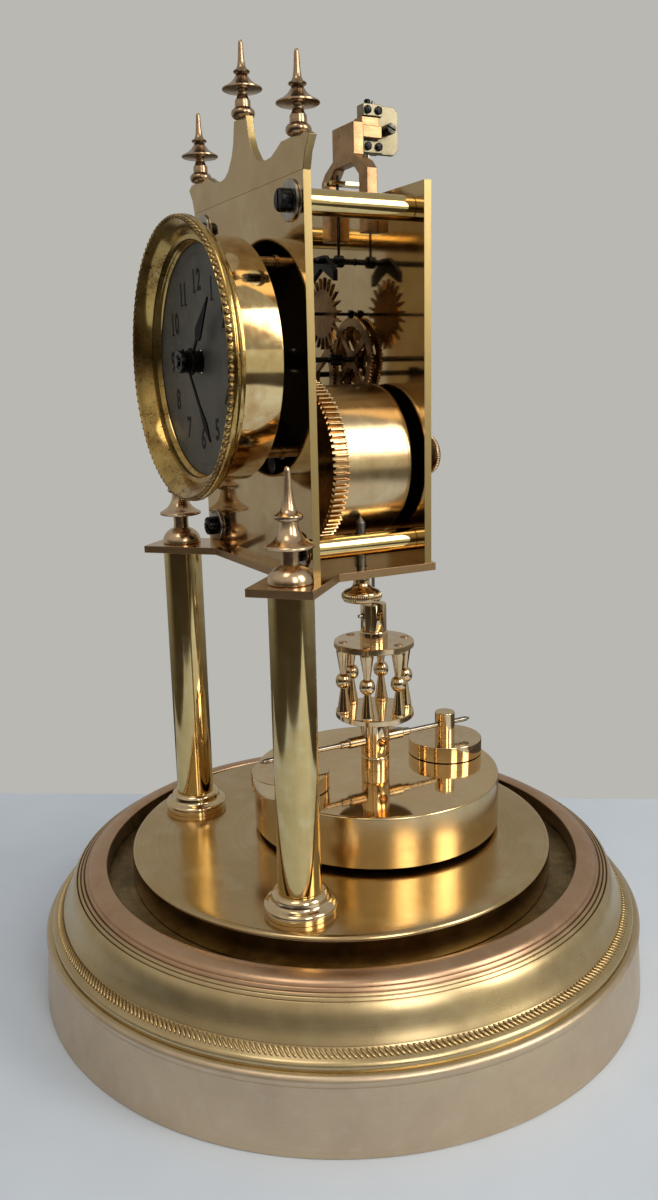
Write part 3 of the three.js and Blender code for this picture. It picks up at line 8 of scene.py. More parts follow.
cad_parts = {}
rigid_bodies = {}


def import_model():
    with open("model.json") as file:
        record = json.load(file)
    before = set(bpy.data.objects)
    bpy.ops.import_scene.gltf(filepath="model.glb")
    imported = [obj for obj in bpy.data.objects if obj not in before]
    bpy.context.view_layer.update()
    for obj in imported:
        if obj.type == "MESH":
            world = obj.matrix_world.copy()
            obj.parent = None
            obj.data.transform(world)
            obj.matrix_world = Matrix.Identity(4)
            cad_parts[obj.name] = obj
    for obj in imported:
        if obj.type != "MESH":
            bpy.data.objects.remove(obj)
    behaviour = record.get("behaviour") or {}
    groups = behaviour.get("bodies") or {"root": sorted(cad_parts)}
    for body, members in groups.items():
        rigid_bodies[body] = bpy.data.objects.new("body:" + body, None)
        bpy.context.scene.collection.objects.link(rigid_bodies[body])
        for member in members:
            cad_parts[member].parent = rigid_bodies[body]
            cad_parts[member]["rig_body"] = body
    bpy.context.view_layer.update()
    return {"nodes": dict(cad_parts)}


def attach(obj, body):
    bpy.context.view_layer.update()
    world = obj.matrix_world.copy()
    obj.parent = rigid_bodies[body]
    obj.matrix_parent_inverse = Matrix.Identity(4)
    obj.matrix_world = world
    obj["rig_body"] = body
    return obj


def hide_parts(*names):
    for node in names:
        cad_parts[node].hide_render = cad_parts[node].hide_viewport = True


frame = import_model()
nodes = frame["nodes"]
mm = 0.001
fullTurn = 2 * math.pi
quarter = math.pi / 2
print("frame loaded:", len(nodes), "nodes")


# Colours, nodes and finishes
def linear(hexColour):
    values = [int(hexColour[i:i + 2], 16) / 255 for i in (1, 3, 5)]
    return [v / 12.92 if v <= 0.04045 else ((v + 0.055) / 1.055) ** 2.4 for v in values] + [1]


# Adds a node with its settings and its inputs, in order or by name. A node given as an input is linked.
def addNode(tree, kind, inputs=(), **settings):
    node = tree.nodes.new(kind)
    for key, value in settings.items():
        setattr(node, key, value)
    for key, value in inputs.items() if isinstance(inputs, dict) else enumerate(inputs):
        if isinstance(value, bpy.types.Node):
            value = value.outputs[0]
        if isinstance(value, bpy.types.NodeSocket):
            tree.links.new(value, node.inputs[key])
        else:
            node.inputs[key].default_value = value
    return node


# Marks that every finish shares. Each runs from none to full over its range. A file's strokes are 0.6 mm.
marks = {
    "patchNoise": {"Detail": 5.0, "Roughness": 0.62}, "smudgeNoise": {"Detail": 3.0, "Roughness": 0.55},
    "grainNoise": {"Detail": 3.0, "Roughness": 0.65}, "speckNoise": {"Detail": 4.0, "Roughness": 0.7},
    "filedNoise": {"Scale": 1 / 0.6, "Detail": 2.0, "Roughness": 0.6}, "smudgesPerPatch": 3.7,
    "deep": (0.42, 0.68), "pale": (0.5, 0.75), "tint": (0.35, 0.7), "edge": (0.9, 0.6),
    "smudgeRough": (0.3, 0.75, 0.0, 0.6), "grainRough": (0.3, 0.7, 0.0, 0.4),
    "filedRough": (0.3, 0.7, 0.3, 0.42), "gather": (0.35, 0.7, -0.06, 0.05), "speckEdge": 0.05,
    "speckRough": 0.6, "pitDepth": -1.2, "stretch": {"drawn": (1, 1, 0.03), "brushed": (1, 0.04, 1)},
}


# Builds a finish from its settings. Object coordinates are taken to millimetres about the piece's own axis.
def makeFinish(finish, centre=(0, 0, 0), alongY=False):
    material = bpy.data.materials.new(finish["name"])
    material.use_nodes = True
    tree = material.node_tree
    tree.nodes.clear()
    x, y, z = centre
    coords = addNode(tree, "ShaderNodeTexCoord").outputs
    place = addNode(tree, "ShaderNodeMapping", {
        "Vector": coords["Object"], "Scale": (1 / mm, 1 / mm, 1 / mm),
        "Rotation": (quarter, 0, 0) if alongY else (0, 0, 0),
        "Location": (-x, z, -y) if alongY else (-x, -y, -z)})
    axes = addNode(tree, "ShaderNodeSeparateXYZ", [place]).outputs
    flat = addNode(tree, "ShaderNodeCombineXYZ", [axes["X"], axes["Y"]])
    radius = addNode(tree, "ShaderNodeVectorMath", [flat], operation="LENGTH").outputs["Value"]
    grainWay = finish.get("grain")
    lines = place
    if grainWay == "turned":
        lines = addNode(tree, "ShaderNodeCombineXYZ", [radius, axes["Z"]])
    elif grainWay:
        lines = addNode(tree, "ShaderNodeMapping", {"Vector": place, "Scale": marks["stretch"][grainWay]})
    patch = addNode(tree, "ShaderNodeTexNoise", {
        "Vector": place, "Scale": 1 / finish["patchMm"], **marks["patchNoise"]})
    smudge = addNode(tree, "ShaderNodeTexNoise", {
        "Vector": place, "Scale": marks["smudgesPerPatch"] / finish["patchMm"], **marks["smudgeNoise"]})
    grain = addNode(tree, "ShaderNodeTexNoise", {
        "Vector": lines, "Scale": 1 / finish["grainMm"], **marks["grainNoise"]})
    colour = linear(finish["base"])
    for noise, mark, amount, tint in ((patch, "deep", finish.get("deepAmount", 0.8), "deep"),
                                      (smudge, "pale", finish.get("paleAmount", 0.5), "pale"),
                                      (grain, "tint", finish.get("grainTint", 0.15), "deep")):
        share = addNode(tree, "ShaderNodeMapRange", [noise, *marks[mark], 0.0, amount])
        colour = addNode(tree, "ShaderNodeMixRGB", [share, colour, linear(finish[tint])])
    smudged = addNode(tree, "ShaderNodeMapRange", [smudge, *marks["smudgeRough"]])
    grained = addNode(tree, "ShaderNodeMapRange", [grain, *marks["grainRough"]])
    wear = addNode(tree, "ShaderNodeMath", [smudged, grained], operation="ADD")
    rough = addNode(tree, "ShaderNodeMapRange", [wear, 0.0, 1.0, *finish["rough"]])
    height = grain
    if "spots" in finish:  # tarnish specks and pits
        speck = addNode(tree, "ShaderNodeTexNoise", {
            "Vector": place, "Scale": 1 / finish["spotMm"], **marks["speckNoise"]})
        gathered = addNode(tree, "ShaderNodeMapRange", [patch, *marks["gather"]])
        level = addNode(tree, "ShaderNodeMath", [speck, gathered], operation="ADD")
        spotRange = (finish["spots"], finish["spots"] + marks["speckEdge"])
        spot = addNode(tree, "ShaderNodeMapRange", [level, *spotRange])
        colour = addNode(tree, "ShaderNodeMixRGB", [spot, colour, linear(finish["spotColour"])])
        spotRough = addNode(tree, "ShaderNodeMapRange", [spot, 0.0, 1.0, 0.0, marks["speckRough"]])
        rough = addNode(tree, "ShaderNodeMath", [rough, spotRough], operation="MAXIMUM")
        height = addNode(tree, "ShaderNodeMath", [spot, marks["pitDepth"], grain], operation="MULTIPLY_ADD")
    if "edge" in finish:  # sawn and filed edges of a sheet with polished faces
        normal = addNode(tree, "ShaderNodeSeparateXYZ", [coords["Normal"]]).outputs[finish["faceAxis"]]
        slope = addNode(tree, "ShaderNodeMath", [normal], operation="ABSOLUTE")
        side = addNode(tree, "ShaderNodeMapRange", [slope, *marks["edge"]])
        filed = addNode(tree, "ShaderNodeTexNoise", {"Vector": place, **marks["filedNoise"]})
        filedRough = addNode(tree, "ShaderNodeMapRange", [filed, *marks["filedRough"]])
        colour = addNode(tree, "ShaderNodeMixRGB", [side, colour, linear(finish["edge"])])
        rough = addNode(tree, "ShaderNodeMix", {0: side, 2: rough, 3: filedRough})
    bump = addNode(tree, "ShaderNodeBump", {
        "Strength": finish["bump"], "Distance": finish["bumpMm"] * mm, "Height": height})
    shader = addNode(tree, "ShaderNodeBsdfPrincipled", {
        "Base Color": colour, "Metallic": finish.get("metallic", 1.0), "Roughness": rough,
        "Specular IOR Level": finish.get("gloss", 0.5), "Normal": bump})
    addNode(tree, "ShaderNodeOutputMaterial", [shader])
    return material


# Spun sheet brass, satin with age: tan, with tarnish patches, fine pits and faint turning lines
spunBrass = dict(name="spun_brass_aged", base="#cbb68c", deep="#ad9468", pale="#dccca4", patchMm=26,
                 rough=(0.24, 0.36), grain="turned", grainMm=0.35, bump=0.25, bumpMm=0.012, spots=0.73,
                 spotMm=0.9, spotColour="#5a4428", deepAmount=0.4, paleAmount=0.3)
# Skirt: the same sheet rubbed dull, its base made paler and a little pink as a painted reflection of the pale
# floor
skirtBrass = dict(spunBrass, name="spun_brass_skirt", base="#d0bb9f", deep="#b7a089", pale="#ddcfb9",
                  rough=(0.34, 0.46), patchMm=17, spotMm=0.6, paleAmount=0.35)
# Same sheet where hands and polish reach it: rosier and smoother
ringBrass = dict(spunBrass, name="spun_brass_ring", base="#c9a687", deep="#a07c5e", pale="#dcc3a4",
                 rough=(0.24, 0.38))
# Floor and walls of the groove: brass darkened as painted shade in the groove
grooveShadeBrass = dict(name="brass_painted_groove_shade", base="#85704a", deep="#463921", pale="#aa9468", patchMm=14,
                   rough=(0.34, 0.5), grain="turned", grainMm=0.5, bump=0.3, bumpMm=0.02)
# Creases between the fine rings: a darker copy of the ring brass
creaseBrass = dict(ringBrass, name="brass_in_creases", base="#8f7355", deep="#6b5238", pale="#a78b6a")
# Plateau: spun brass with a circular brushed polish, golden and half glossy
plateauBrass = dict(name="brushed_brass_plateau", base="#cbb186", deep="#a68b5b", pale="#dccfab", patchMm=40,
                    rough=(0.14, 0.26), grain="turned", grainMm=0.4, bump=0.35, bumpMm=0.006, deepAmount=0.4,
                    grainTint=0.3, spots=0.84, spotMm=0.7, spotColour="#8a6c40")
# Tube brass, buffed: yellow, mirror-like, with olive tarnish clouds
yellowBrass = dict(name="polished_yellow_brass", base="#dcc48b", deep="#b29556", pale="#ecdfb8", patchMm=22,
                   rough=(0.05, 0.13), grain="drawn", grainMm=0.5, bump=0.12, bumpMm=0.004, deepAmount=0.5,
                   grainTint=0.08)
# Turned and buffed brass with more copper: rosy gold
roseBrass = dict(name="polished_rose_brass", base="#e2caa2", deep="#c3a071", pale="#ecdcbd", patchMm=12,
                 rough=(0.06, 0.15), grain="turned", grainMm=0.35, bump=0.14, bumpMm=0.004, deepAmount=0.5)
# Finials: the same brass gone satin
satinBrass = dict(roseBrass, name="satin_rose_brass", base="#d6bc9c", deep="#ab8763", pale="#e6d3b8",
                  rough=(0.16, 0.3), patchMm=5)
# Gable finials are the dullest
spireBrass = dict(satinBrass, name="dull_rose_brass", base="#b89f82", deep="#8f7053", pale="#cdb89c")
# Pendulum disc: the same brass, lapped to a mirror, golden on its side
discBrass = dict(roseBrass, name="lapped_golden_brass", base="#e2c89a", deep="#cca46e", pale="#ecdab4",
                 patchMm=30, rough=(0.04, 0.1), spots=0.77, spotMm=0.7, spotColour="#6a4a2c")
discEdgeBrass = dict(discBrass, name="turned_golden_brass", base="#d8c193", deep="#bd9c68",
                     rough=(0.2, 0.27), spots=0.86)
# Rolled plate brass: mirror faces with a straight grain, sawn edges left satin
plateBrass = dict(name="rolled_plate_brass", base="#c9b187", deep="#a58456", pale="#dccaa0", patchMm=30,
                  rough=(0.05, 0.12), grain="brushed", grainMm=0.5, bump=0.12, bumpMm=0.004, deepAmount=0.5,
                  edge="#b29c6c", faceAxis="Y", spots=0.76, spotMm=0.9, spotColour="#6a4a28")
# Platform: the same plate lying flat
platformBrass = dict(plateBrass, name="rolled_platform_brass", faceAxis="Z", base="#c8a57c", edge="#b4946e")
# Dial case and bezel: pressed brass with orange tarnish and dark specks
caseBrass = dict(yellowBrass, name="pressed_case_brass", grain="turned", base="#dfc691", deep="#a8713a",
                 patchMm=13, spots=0.75, spotMm=0.9, spotColour="#6b4a26", rough=(0.06, 0.13),
                 deepAmount=0.7)
bezelBrass = dict(caseBrass, name="aged_bezel_brass", base="#c8a965", deep="#7d5a2c", pale="#e0cb90",
                  patchMm=11, spots=0.59, spotMm=0.8, spotColour="#33210f", rough=(0.1, 0.22),
                  deepAmount=0.75)
knurlBrass = dict(bezelBrass, name="dark_knurled_brass", base="#a2875a", deep="#57432a", pale="#c0a878",
                  patchMm=6, rough=(0.26, 0.4), spots=0.66)
# Wheels: stamped brass, dull from oil
wheelBrass = dict(name="oiled_wheel_brass", base="#8d6d45", deep="#4d371f", pale="#ab8a5f", patchMm=7,
                  rough=(0.22, 0.4), grain="turned", grainMm=0.3, bump=0.2, bumpMm=0.006)
# Great wheel: the same stock, its teeth rubbed bright
toothBrass = dict(wheelBrass, name="cut_wheel_brass", base="#d9bb8c", deep="#9c7547", pale="#eed7ae",
                  rough=(0.14, 0.28))
barrelBrass = dict(yellowBrass, name="polished_barrel_brass", grain="turned", base="#d9c096", deep="#ab8351",
                   rough=(0.17, 0.27))
# Cast and filed brass of the cock: satin and rosy, file marks left
filedBrass = dict(name="filed_cast_brass", base="#b3926c", deep="#8a6746", pale="#c9aa84", patchMm=6,
                  rough=(0.24, 0.4), grain="brushed", grainMm=0.35, bump=0.35, bumpMm=0.02)
# Silver steel: ground rod, cool grey
silverSteel = dict(name="ground_silver_steel", base="#989186", deep="#6b645b", pale="#bab4aa", patchMm=6,
                   rough=(0.14, 0.3), grain="turned", grainMm=0.25, bump=0.2, bumpMm=0.005)
washerSteel = dict(silverSteel, name="turned_washer_steel", base="#b5b1aa", deep="#86827b",
                   rough=(0.2, 0.34))
dullSteel = dict(silverSteel, name="turned_dull_steel", base="#8c8880", deep="#4f4b45", rough=(0.3, 0.45))
# Chops: pale nickelled steel with a warm cast
chopSteel = dict(silverSteel, name="pale_chop_steel", base="#989078", deep="#7a725c", pale="#aca48c",
                 rough=(0.34, 0.46))
# Screws blackened in oil
blackSteel = dict(name="oil_blackened_steel", base="#2a2a2c", deep="#131314", pale="#55555a", patchMm=2.5,
                  rough=(0.2, 0.38), grain="turned", grainMm=0.25, bump=0.25, bumpMm=0.01)
# Dial: silvered sheet, dulled, its base darkened as painted shade for the shade the dial sits in
shadedSilverDial = dict(name="silvered_dial_painted_shade", base="#636058", deep="#4c4a43", pale="#757268", patchMm=13,
                  rough=(0.4, 0.54), grain="turned", grainMm=0.4, bump=0.15, bumpMm=0.01, metallic=0.4,
                  gloss=0.3, spots=0.75, spotMm=0.5, spotColour="#403d36")
# Dial numbers: fired black paint
dialPaint = dict(name="black_dial_paint", base="#101012", deep="#060608", pale="#1c1c20", patchMm=4,
                 rough=(0.35, 0.5), grainMm=0.3, bump=0.1, bumpMm=0.004, metallic=0.0, gloss=0.1)
# Hands: steel under black lacquer
handPaint = dict(dialPaint, name="black_hand_lacquer", base="#09090b", pale="#121215", rough=(0.4, 0.55),
                 gloss=0.08)
# Mainspring: steel fired to blue
bluedSteel = dict(name="fired_blue_steel", base="#20242e", deep="#101218", pale="#353c4c", patchMm=3,
                  rough=(0.2, 0.34), grain="brushed", grainMm=0.3, bump=0.15, bumpMm=0.004)
# Dull black as painted shade: inside the dial case, behind the dial and on the barrel lid
shadeLining = dict(name="black_painted_shade_lining", base="#17110b", deep="#0a0705", pale="#2a2115", patchMm=8,
                  rough=(0.45, 0.65), grainMm=0.5, bump=0.2, bumpMm=0.01, metallic=0.6)
print("finishes ready")


# Modelling. Lengths in millimetres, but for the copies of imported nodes, which are in metres.
shaping = {"merge": 0.0005, "mergeMetres": 0.00001, "smoothPastSharp": 8, "flatDegrees": 1,
           "cornerDegrees": 30, "smoothDegrees": 38}


def deselectAll():
    bpy.ops.object.select_all(action="DESELECT")


def activate(piece):
    deselectAll()
    piece.select_set(True)
    bpy.context.view_layer.objects.active = piece


# A primitive that a piece starts from, alone selected
def startPiece(name, primitive, **settings):
    deselectAll()
    primitive(**settings)
    piece = bpy.context.object
    piece.name = name
    return piece


def openMesh():
    bpy.ops.object.mode_set(mode="EDIT")
    bpy.ops.mesh.select_all(action="SELECT")


def closeMesh():
    bpy.ops.object.mode_set(mode="OBJECT")


def applyPlace():
    bpy.ops.object.transform_apply(location=True, rotation=True, scale=True)


def applyModifier(piece, kind, **settings):
    activate(piece)
    modifier = piece.modifiers.new("step", kind)
    for key, value in settings.items():
        setattr(modifier, key, value)
    bpy.ops.object.modifier_apply(modifier="step")


# Rounds the sharp edges and shades the rest smooth
def roundEdges(piece, width, sharpDegrees, smoothDegrees):
    if width:
        applyModifier(piece, "BEVEL", width=width, segments=2, limit_method="ANGLE",
                      angle_limit=math.radians(sharpDegrees), use_clamp_overlap=True)
    activate(piece)
    bpy.ops.object.shade_smooth_by_angle(angle=math.radians(smoothDegrees))
    applyModifier(piece, "WEIGHTED_NORMAL", keep_sharp=True)


# Merges doubles, turns the faces outwards and rounds the edges
def finishShape(piece, softEdge, sharpDegrees=32):
    activate(piece)
    openMesh()
    bpy.ops.mesh.remove_doubles(threshold=shaping["merge"])
    bpy.ops.mesh.normals_make_consistent(inside=False)
    closeMesh()
    roundEdges(piece, softEdge, sharpDegrees, sharpDegrees + shaping["smoothPastSharp"])


# Takes a piece from millimetres about the Z axis to its place in metres, with its object at the origin
axisTurns = {"Z": Matrix.Identity(4), "Y": Matrix.Rotation(-quarter, 4, "X"),
             "-Y": Matrix.Rotation(quarter, 4, "X"), "X": Matrix.Rotation(quarter, 4, "Y")}


def settle(piece, place=(0, 0, 0), axis="Z", turn=0):
    activate(piece)
    piece.matrix_world = (Matrix.Translation(Vector(place) * mm) @ axisTurns[axis]
                          @ Matrix.Rotation(turn, 4, "Z") @ Matrix.Scale(mm, 4))
    applyPlace()
    return piece


# Turned piece: a circle drawn up ring by ring through (radius, height)
def turnPiece(name, rings, sides, hollow=False, softEdge=0, sharpDegrees=32):
    radius, height = rings[0]
    piece = startPiece(name, bpy.ops.mesh.primitive_circle_add, vertices=sides, radius=radius,
                       location=(0, 0, height), fill_type="NOTHING" if hollow else "NGON")
    applyPlace()
    openMesh()
    for nextRadius, nextHeight in rings[1:]:
        bpy.ops.mesh.extrude_region_move(TRANSFORM_OT_translate={"value": (0, 0, nextHeight - height)})
        if nextRadius != radius:
            share = nextRadius / radius
            bpy.ops.transform.resize(value=(share, share, 1), center_override=(0, 0, nextHeight))
        radius, height = nextRadius, nextHeight
    if hollow:
        bpy.ops.mesh.select_all(action="DESELECT")
        bpy.ops.mesh.select_non_manifold(extend=False)
        bpy.ops.mesh.bridge_edge_loops()
    closeMesh()
    finishShape(piece, softEdge, sharpDegrees)
    return piece


# Flat face: a round one whose corners are moved onto the outline
def cutFace(name, outline, height=0):
    piece = startPiece(name, bpy.ops.mesh.primitive_circle_add, vertices=len(outline), radius=1,
                       fill_type="NGON")
    for corner, (x, y) in zip(piece.data.vertices, outline):
        corner.co = (x, y, height)
    return piece


# Flat piece: such a face drawn up to its thickness
def cutSheet(name, outline, thickness, softEdge):
    piece = cutFace(name, outline, -thickness / 2)
    openMesh()
    bpy.ops.mesh.extrude_region_move(TRANSFORM_OT_translate={"value": (0, 0, thickness)})
    closeMesh()
    finishShape(piece, softEdge)
    return piece


# One rounded ridge, set at a radius and height, then spun round the axis to make a knurl or a rope
def ridgeRing(name, count, radius, height, size, lean=0, tilt=0, facets=8):
    piece = startPiece(name, bpy.ops.mesh.primitive_uv_sphere_add, segments=facets, ring_count=5, radius=1)
    across, along, out = size
    shape = (Matrix.Translation((radius, 0, height)) @ Matrix.Rotation(tilt, 4, "Y")
             @ Matrix.Rotation(lean, 4, "X") @ Matrix.Diagonal((out, across, along, 1)))
    piece.data.transform(shape)
    openMesh()
    bpy.ops.mesh.spin(steps=count - 1, dupli=True, angle=fullTurn * (count - 1) / count,
                      center=(0, 0, 0), axis=(0, 0, 1))
    bpy.ops.mesh.select_all(action="SELECT")
    bpy.ops.mesh.normals_make_consistent(inside=False)
    closeMesh()
    bpy.ops.object.shade_smooth()
    return piece


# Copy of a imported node, merged, with its flat faces made whole and its edges rounded by softEdge millimetres
def refinedCopy(node, softEdge):
    piece = bpy.data.objects.new(node + "_finished", nodes[node].data.copy())
    bpy.context.scene.collection.objects.link(piece)
    activate(piece)
    openMesh()
    bpy.ops.mesh.remove_doubles(threshold=shaping["mergeMetres"])
    bpy.ops.mesh.dissolve_limited(angle_limit=math.radians(shaping["flatDegrees"]))
    closeMesh()
    roundEdges(piece, softEdge * mm, shaping["cornerDegrees"], shaping["smoothDegrees"])
    return piece


# Rings of a thread from bottom to top: each turn goes from one radius to the other and back
def threadRings(radius, midRadius, pitch, bottom, top):
    rings = [(radius, bottom)]
    while rings[-1][1] < top:
        height = rings[-1][1]
        rings += [(midRadius, height + pitch / 2), (radius, height + pitch)]
    return rings


def cutAway(piece, cutter):
    applyPlace()
    applyModifier(piece, "BOOLEAN", operation="DIFFERENCE", solver="EXACT", object=cutter)
    bpy.data.objects.remove(cutter)


def cutSlot(piece, size, place):
    cutter = startPiece("cutter", bpy.ops.mesh.primitive_cube_add, size=1, location=place)
    cutter.scale = size
    cutAway(piece, cutter)


def drill(piece, radius, length, place, rotation):
    cutAway(piece, startPiece("cutter", bpy.ops.mesh.primitive_cylinder_add, vertices=32, radius=radius,
                              depth=length, location=place, rotation=rotation))


# Gives the piece its finish and its body. With replace, it stands for the node.
def fit(piece, node, finish, centre=(0, 0, 0), alongY=False, replace=True):
    piece.data.materials.clear()
    piece.data.materials.append(makeFinish(finish, centre, alongY))
    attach(piece, nodes[node]["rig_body"])
    if replace:
        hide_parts(node)
    return piece


def addFinish(piece, finish, test, centre=(0, 0, 0)):
    piece.data.materials.append(makeFinish(finish, centre))
    index = len(piece.data.materials) - 1
    for face in piece.data.polygons:
        if test(face):
            face.material_index = index


# Turned piece in its place with its finish, whose marks run round the piece's axis
def addTurned(name, rings, sides, node, finish, place=(0, 0, 0), axis="Z", centre=None, replace=True,
              **shape):
    piece = settle(turnPiece(name, rings, sides, **shape), place, axis)
    return fit(piece, node, finish, centre or place, axis.endswith("Y"), replace)


def addRidges(name, ridge, node, finish, place=(0, 0, 0), axis="Z", centre=None):
    piece = settle(ridgeRing(name, **ridge), place, axis)
    return fit(piece, node, finish, centre or place, axis.endswith("Y"), replace=False)


# Base
baseProfile = {
    "skirt": [(91, 0), (99.7, 0), (100, 0.35), (99.85, 3), (99.6, 7), (99.25, 11.5), (98.8, 16),
              (98.4, 19.2)],
    "shoulder": [(98.35, 19.55), (98.75, 20.1), (98.98, 20.9), (98.95, 21.7), (98.6, 22.35), (98, 22.8),
                 (97.2, 23.05)],
    "band": [(96.75, 23.05), (96.5, 23), (96.45, 23.4), (96.8, 23.7), (96.85, 24.4), (96.5, 25.1),
             (95.9, 25.55)],
    "ropeSeat": [(95.2, 25.85), (94.2, 26.5), (93.3, 27.1), (93, 27.65)],
    "ogee": [(93.15, 27.9), (92.9, 28.4), (92.4, 29.3), (91.85, 30.4), (91.3, 31.7), (90.8, 33.1),
             (90.25, 34.5), (89.6, 35.9), (88.9, 36.9), (88.5, 37.3)],
    "fineRings": [(88.35, 37.25), (88.15, 36.95), (87.95, 37.25), (87.7, 37.7), (87.4, 37.95), (87.2, 37.85),
                  (87, 37.6), (86.8, 37.9), (86.55, 38.35), (86.25, 38.5), (86.05, 38.4), (85.85, 38.2),
                  (85.65, 38.5), (85.4, 39), (85.1, 39.25), (84.85, 39.15), (84.65, 39.2)],
    "ring": [(84.3, 40), (83.3, 40.55), (82.2, 40.95), (81, 41.17), (79.9, 41.2), (79.1, 41.12),
             (78.55, 40.85), (78.3, 40.3), (78.3, 38)],
    "inside": [(78.3, 34.5), (86, 34.5), (91.1, 25.6), (96.4, 20), (98, 2), (91, 2)],
}
base = {
    "sides": 160, "skirtTop": 22.8, "skirtInside": 96.5, "ringFrom": 38.3, "ringReach": 86.5,
    "grooveFrom": 34, "grooveWall": 78.4, "creases": (88.15, 87, 85.85), "creaseWidth": 0.2,
    "creaseFrom": 36.6, "creaseTo": 38.6, "wallSlope": 0.5,
    "rope": {"count": 384, "radius": 94.3, "height": 26.75, "size": (0.5, 1.75, 0.42), "lean": 0.72,
             "tilt": -0.99},
}
baseRings = sum(baseProfile.values(), [])
shell = addTurned("spun_base", baseRings, base["sides"], "base_shell", spunBrass, hollow=True)
# Skirt faces: rougher sheet with a paler, pinker base that is a painted reflection of the floor
addFinish(shell, skirtBrass, lambda face: (
    face.center.z < base["skirtTop"] * mm and face.center.xy.length > base["skirtInside"] * mm))
addFinish(shell, ringBrass, lambda face: (
    face.center.z > base["ringFrom"] * mm and face.center.length > base["ringReach"] * mm))
# Groove walls: darker brass as painted shade
addFinish(shell, grooveShadeBrass, lambda face: (
    face.center.z > base["grooveFrom"] * mm and face.center.xy.length < base["grooveWall"] * mm
    and abs(face.normal.z) < base["wallSlope"]))
addFinish(shell, creaseBrass, lambda face: (
    base["creaseFrom"] * mm < face.center.z < base["creaseTo"] * mm
    and any(abs(face.center.xy.length / mm - radius) < base["creaseWidth"] for radius in base["creases"])))
addRidges("rope_band", base["rope"], "base_shell", dict(spunBrass, name="rope_band_brass", base="#c4ab7c"))

tray = [(84, 32.5), (84, 34.5), (78, 34.5), (78, 34.8), (70.3, 34.8), (70.3, 34.5)]
# Groove floor: the same painted shade
addTurned("groove_floor", tray, base["sides"], "base_tray", grooveShadeBrass)

plateau = [(68, 42.7), (68, 34.5), (70, 34.5), (70, 43.2), (69.9, 43.8), (69.55, 44.3), (69, 44.6),
           (68.3, 44.7), (66, 44.7)]
addTurned("brushed_plateau", plateau, base["sides"], "base_plateau", plateauBrass)
print("base ready")

# Columns with their feet and finials
column = {
    "x": 42, "y": -36.3, "bottom": 44.7, "platformTop": 141, "sides": 64,
    "shaft": [(6.35, 51.3), (6.35, 138.7)], "softEdge": 0.25,
    "foot": [(10.2, 0), (10.35, 0.15), (10.35, 1.3), (10.2, 1.45), (10.45, 1.6), (10.7, 1.95), (10.65, 2.5),
             (10.3, 3), (9.7, 3.3), (9.1, 3.45), (8.6, 3.8), (8.35, 4.4), (8.3, 5.2), (8.1, 5.8),
             (7.5, 6.3), (6.9, 6.6)],
    "finial": [(6.1, 0), (6.35, 0.25), (6.35, 0.9), (6.2, 1.8), (5.75, 2.8), (4.95, 3.8), (3.9, 4.55),
               (3, 4.95), (2.55, 5.2), (2.45, 6.8), (2.5, 8.9), (3, 9.3), (6, 9.45), (6.75, 9.7),
               (6.9, 10.1), (6.75, 10.5), (6.1, 10.9), (5.1, 11.45), (4.2, 12.2), (3.5, 13.1), (2.95, 14.2),
               (2.62, 15.4), (2.5, 16.75), (3, 16.9), (3.8, 17.35), (4, 17.95), (3.85, 18.4),
               (3.1, 18.85), (2.35, 19.5), (1.9, 20.6), (1.55, 22.5), (1.25, 25), (1, 28), (0.9, 30.1),
               (0.75, 30.8), (0.45, 31.2), (0.1, 31.3)],
    "knurl": {"count": 84, "radius": 6.72, "height": 10.1, "size": (0.14, 0.36, 0.17), "facets": 6},
}
for side, sign in (("left", -1), ("right", 1)):
    axisPlace = (sign * column["x"], column["y"], 0)
    footPlace = (*axisPlace[:2], column["bottom"])
    finialPlace = (*axisPlace[:2], column["platformTop"])
    addTurned(f"{side}_shaft", column["shaft"], column["sides"], f"{side}_column", yellowBrass, axisPlace,
              softEdge=column["softEdge"])
    addTurned(f"{side}_foot", column["foot"], column["sides"], f"{side}_column_foot", roseBrass, footPlace,
              centre=axisPlace)
    addTurned(f"{side}_finial", column["finial"], column["sides"], f"{side}_column_finial", satinBrass,
              finialPlace, centre=axisPlace)
    addRidges(f"{side}_finial_knurl", column["knurl"], f"{side}_column_finial", satinBrass, finialPlace,
              centre=axisPlace)
print("columns ready")

# Plates, platform and gable
sawnEdge = 0.18
for node, finish in (("platform", platformBrass), ("front_plate", plateBrass), ("back_plate", plateBrass),
                     ("gable", plateBrass)):
    fit(refinedCopy(node, sawnEdge), node, finish)

gableFinial = {
    "places": {"left": (-34.3, -26.35, 255.3), "centre": (0, -26.35, 266.6), "right": (34.3, -26.35, 255.3)},
    "rings": [(2.7, 0), (3.2, 0.45), (3.4, 1.2), (3.25, 1.9), (2.7, 2.5), (2.25, 2.8), (2.2, 4.6), (1.7, 5.3),
              (1.4, 6.3), (1.7, 7), (5.3, 7.2), (5.7, 7.45), (5.65, 7.8), (5, 8.1), (3.9, 8.75),
              (2.8, 9.6), (2, 10.6), (1.45, 11.6), (1.5, 11.75), (2.2, 11.8), (2.4, 12.1), (2.2, 12.4),
              (1.6, 12.7), (1.15, 13.6), (0.9, 15.3), (0.75, 17.5), (0.66, 19.4), (0.5, 20), (0.25, 20.25),
              (0.08, 20.3)],
}
for name, spot in gableFinial["places"].items():
    addTurned(f"gable_spire_{name}", gableFinial["rings"], 40, f"gable_finial_{name}", spireBrass, spot)
print("plates and gable ready")

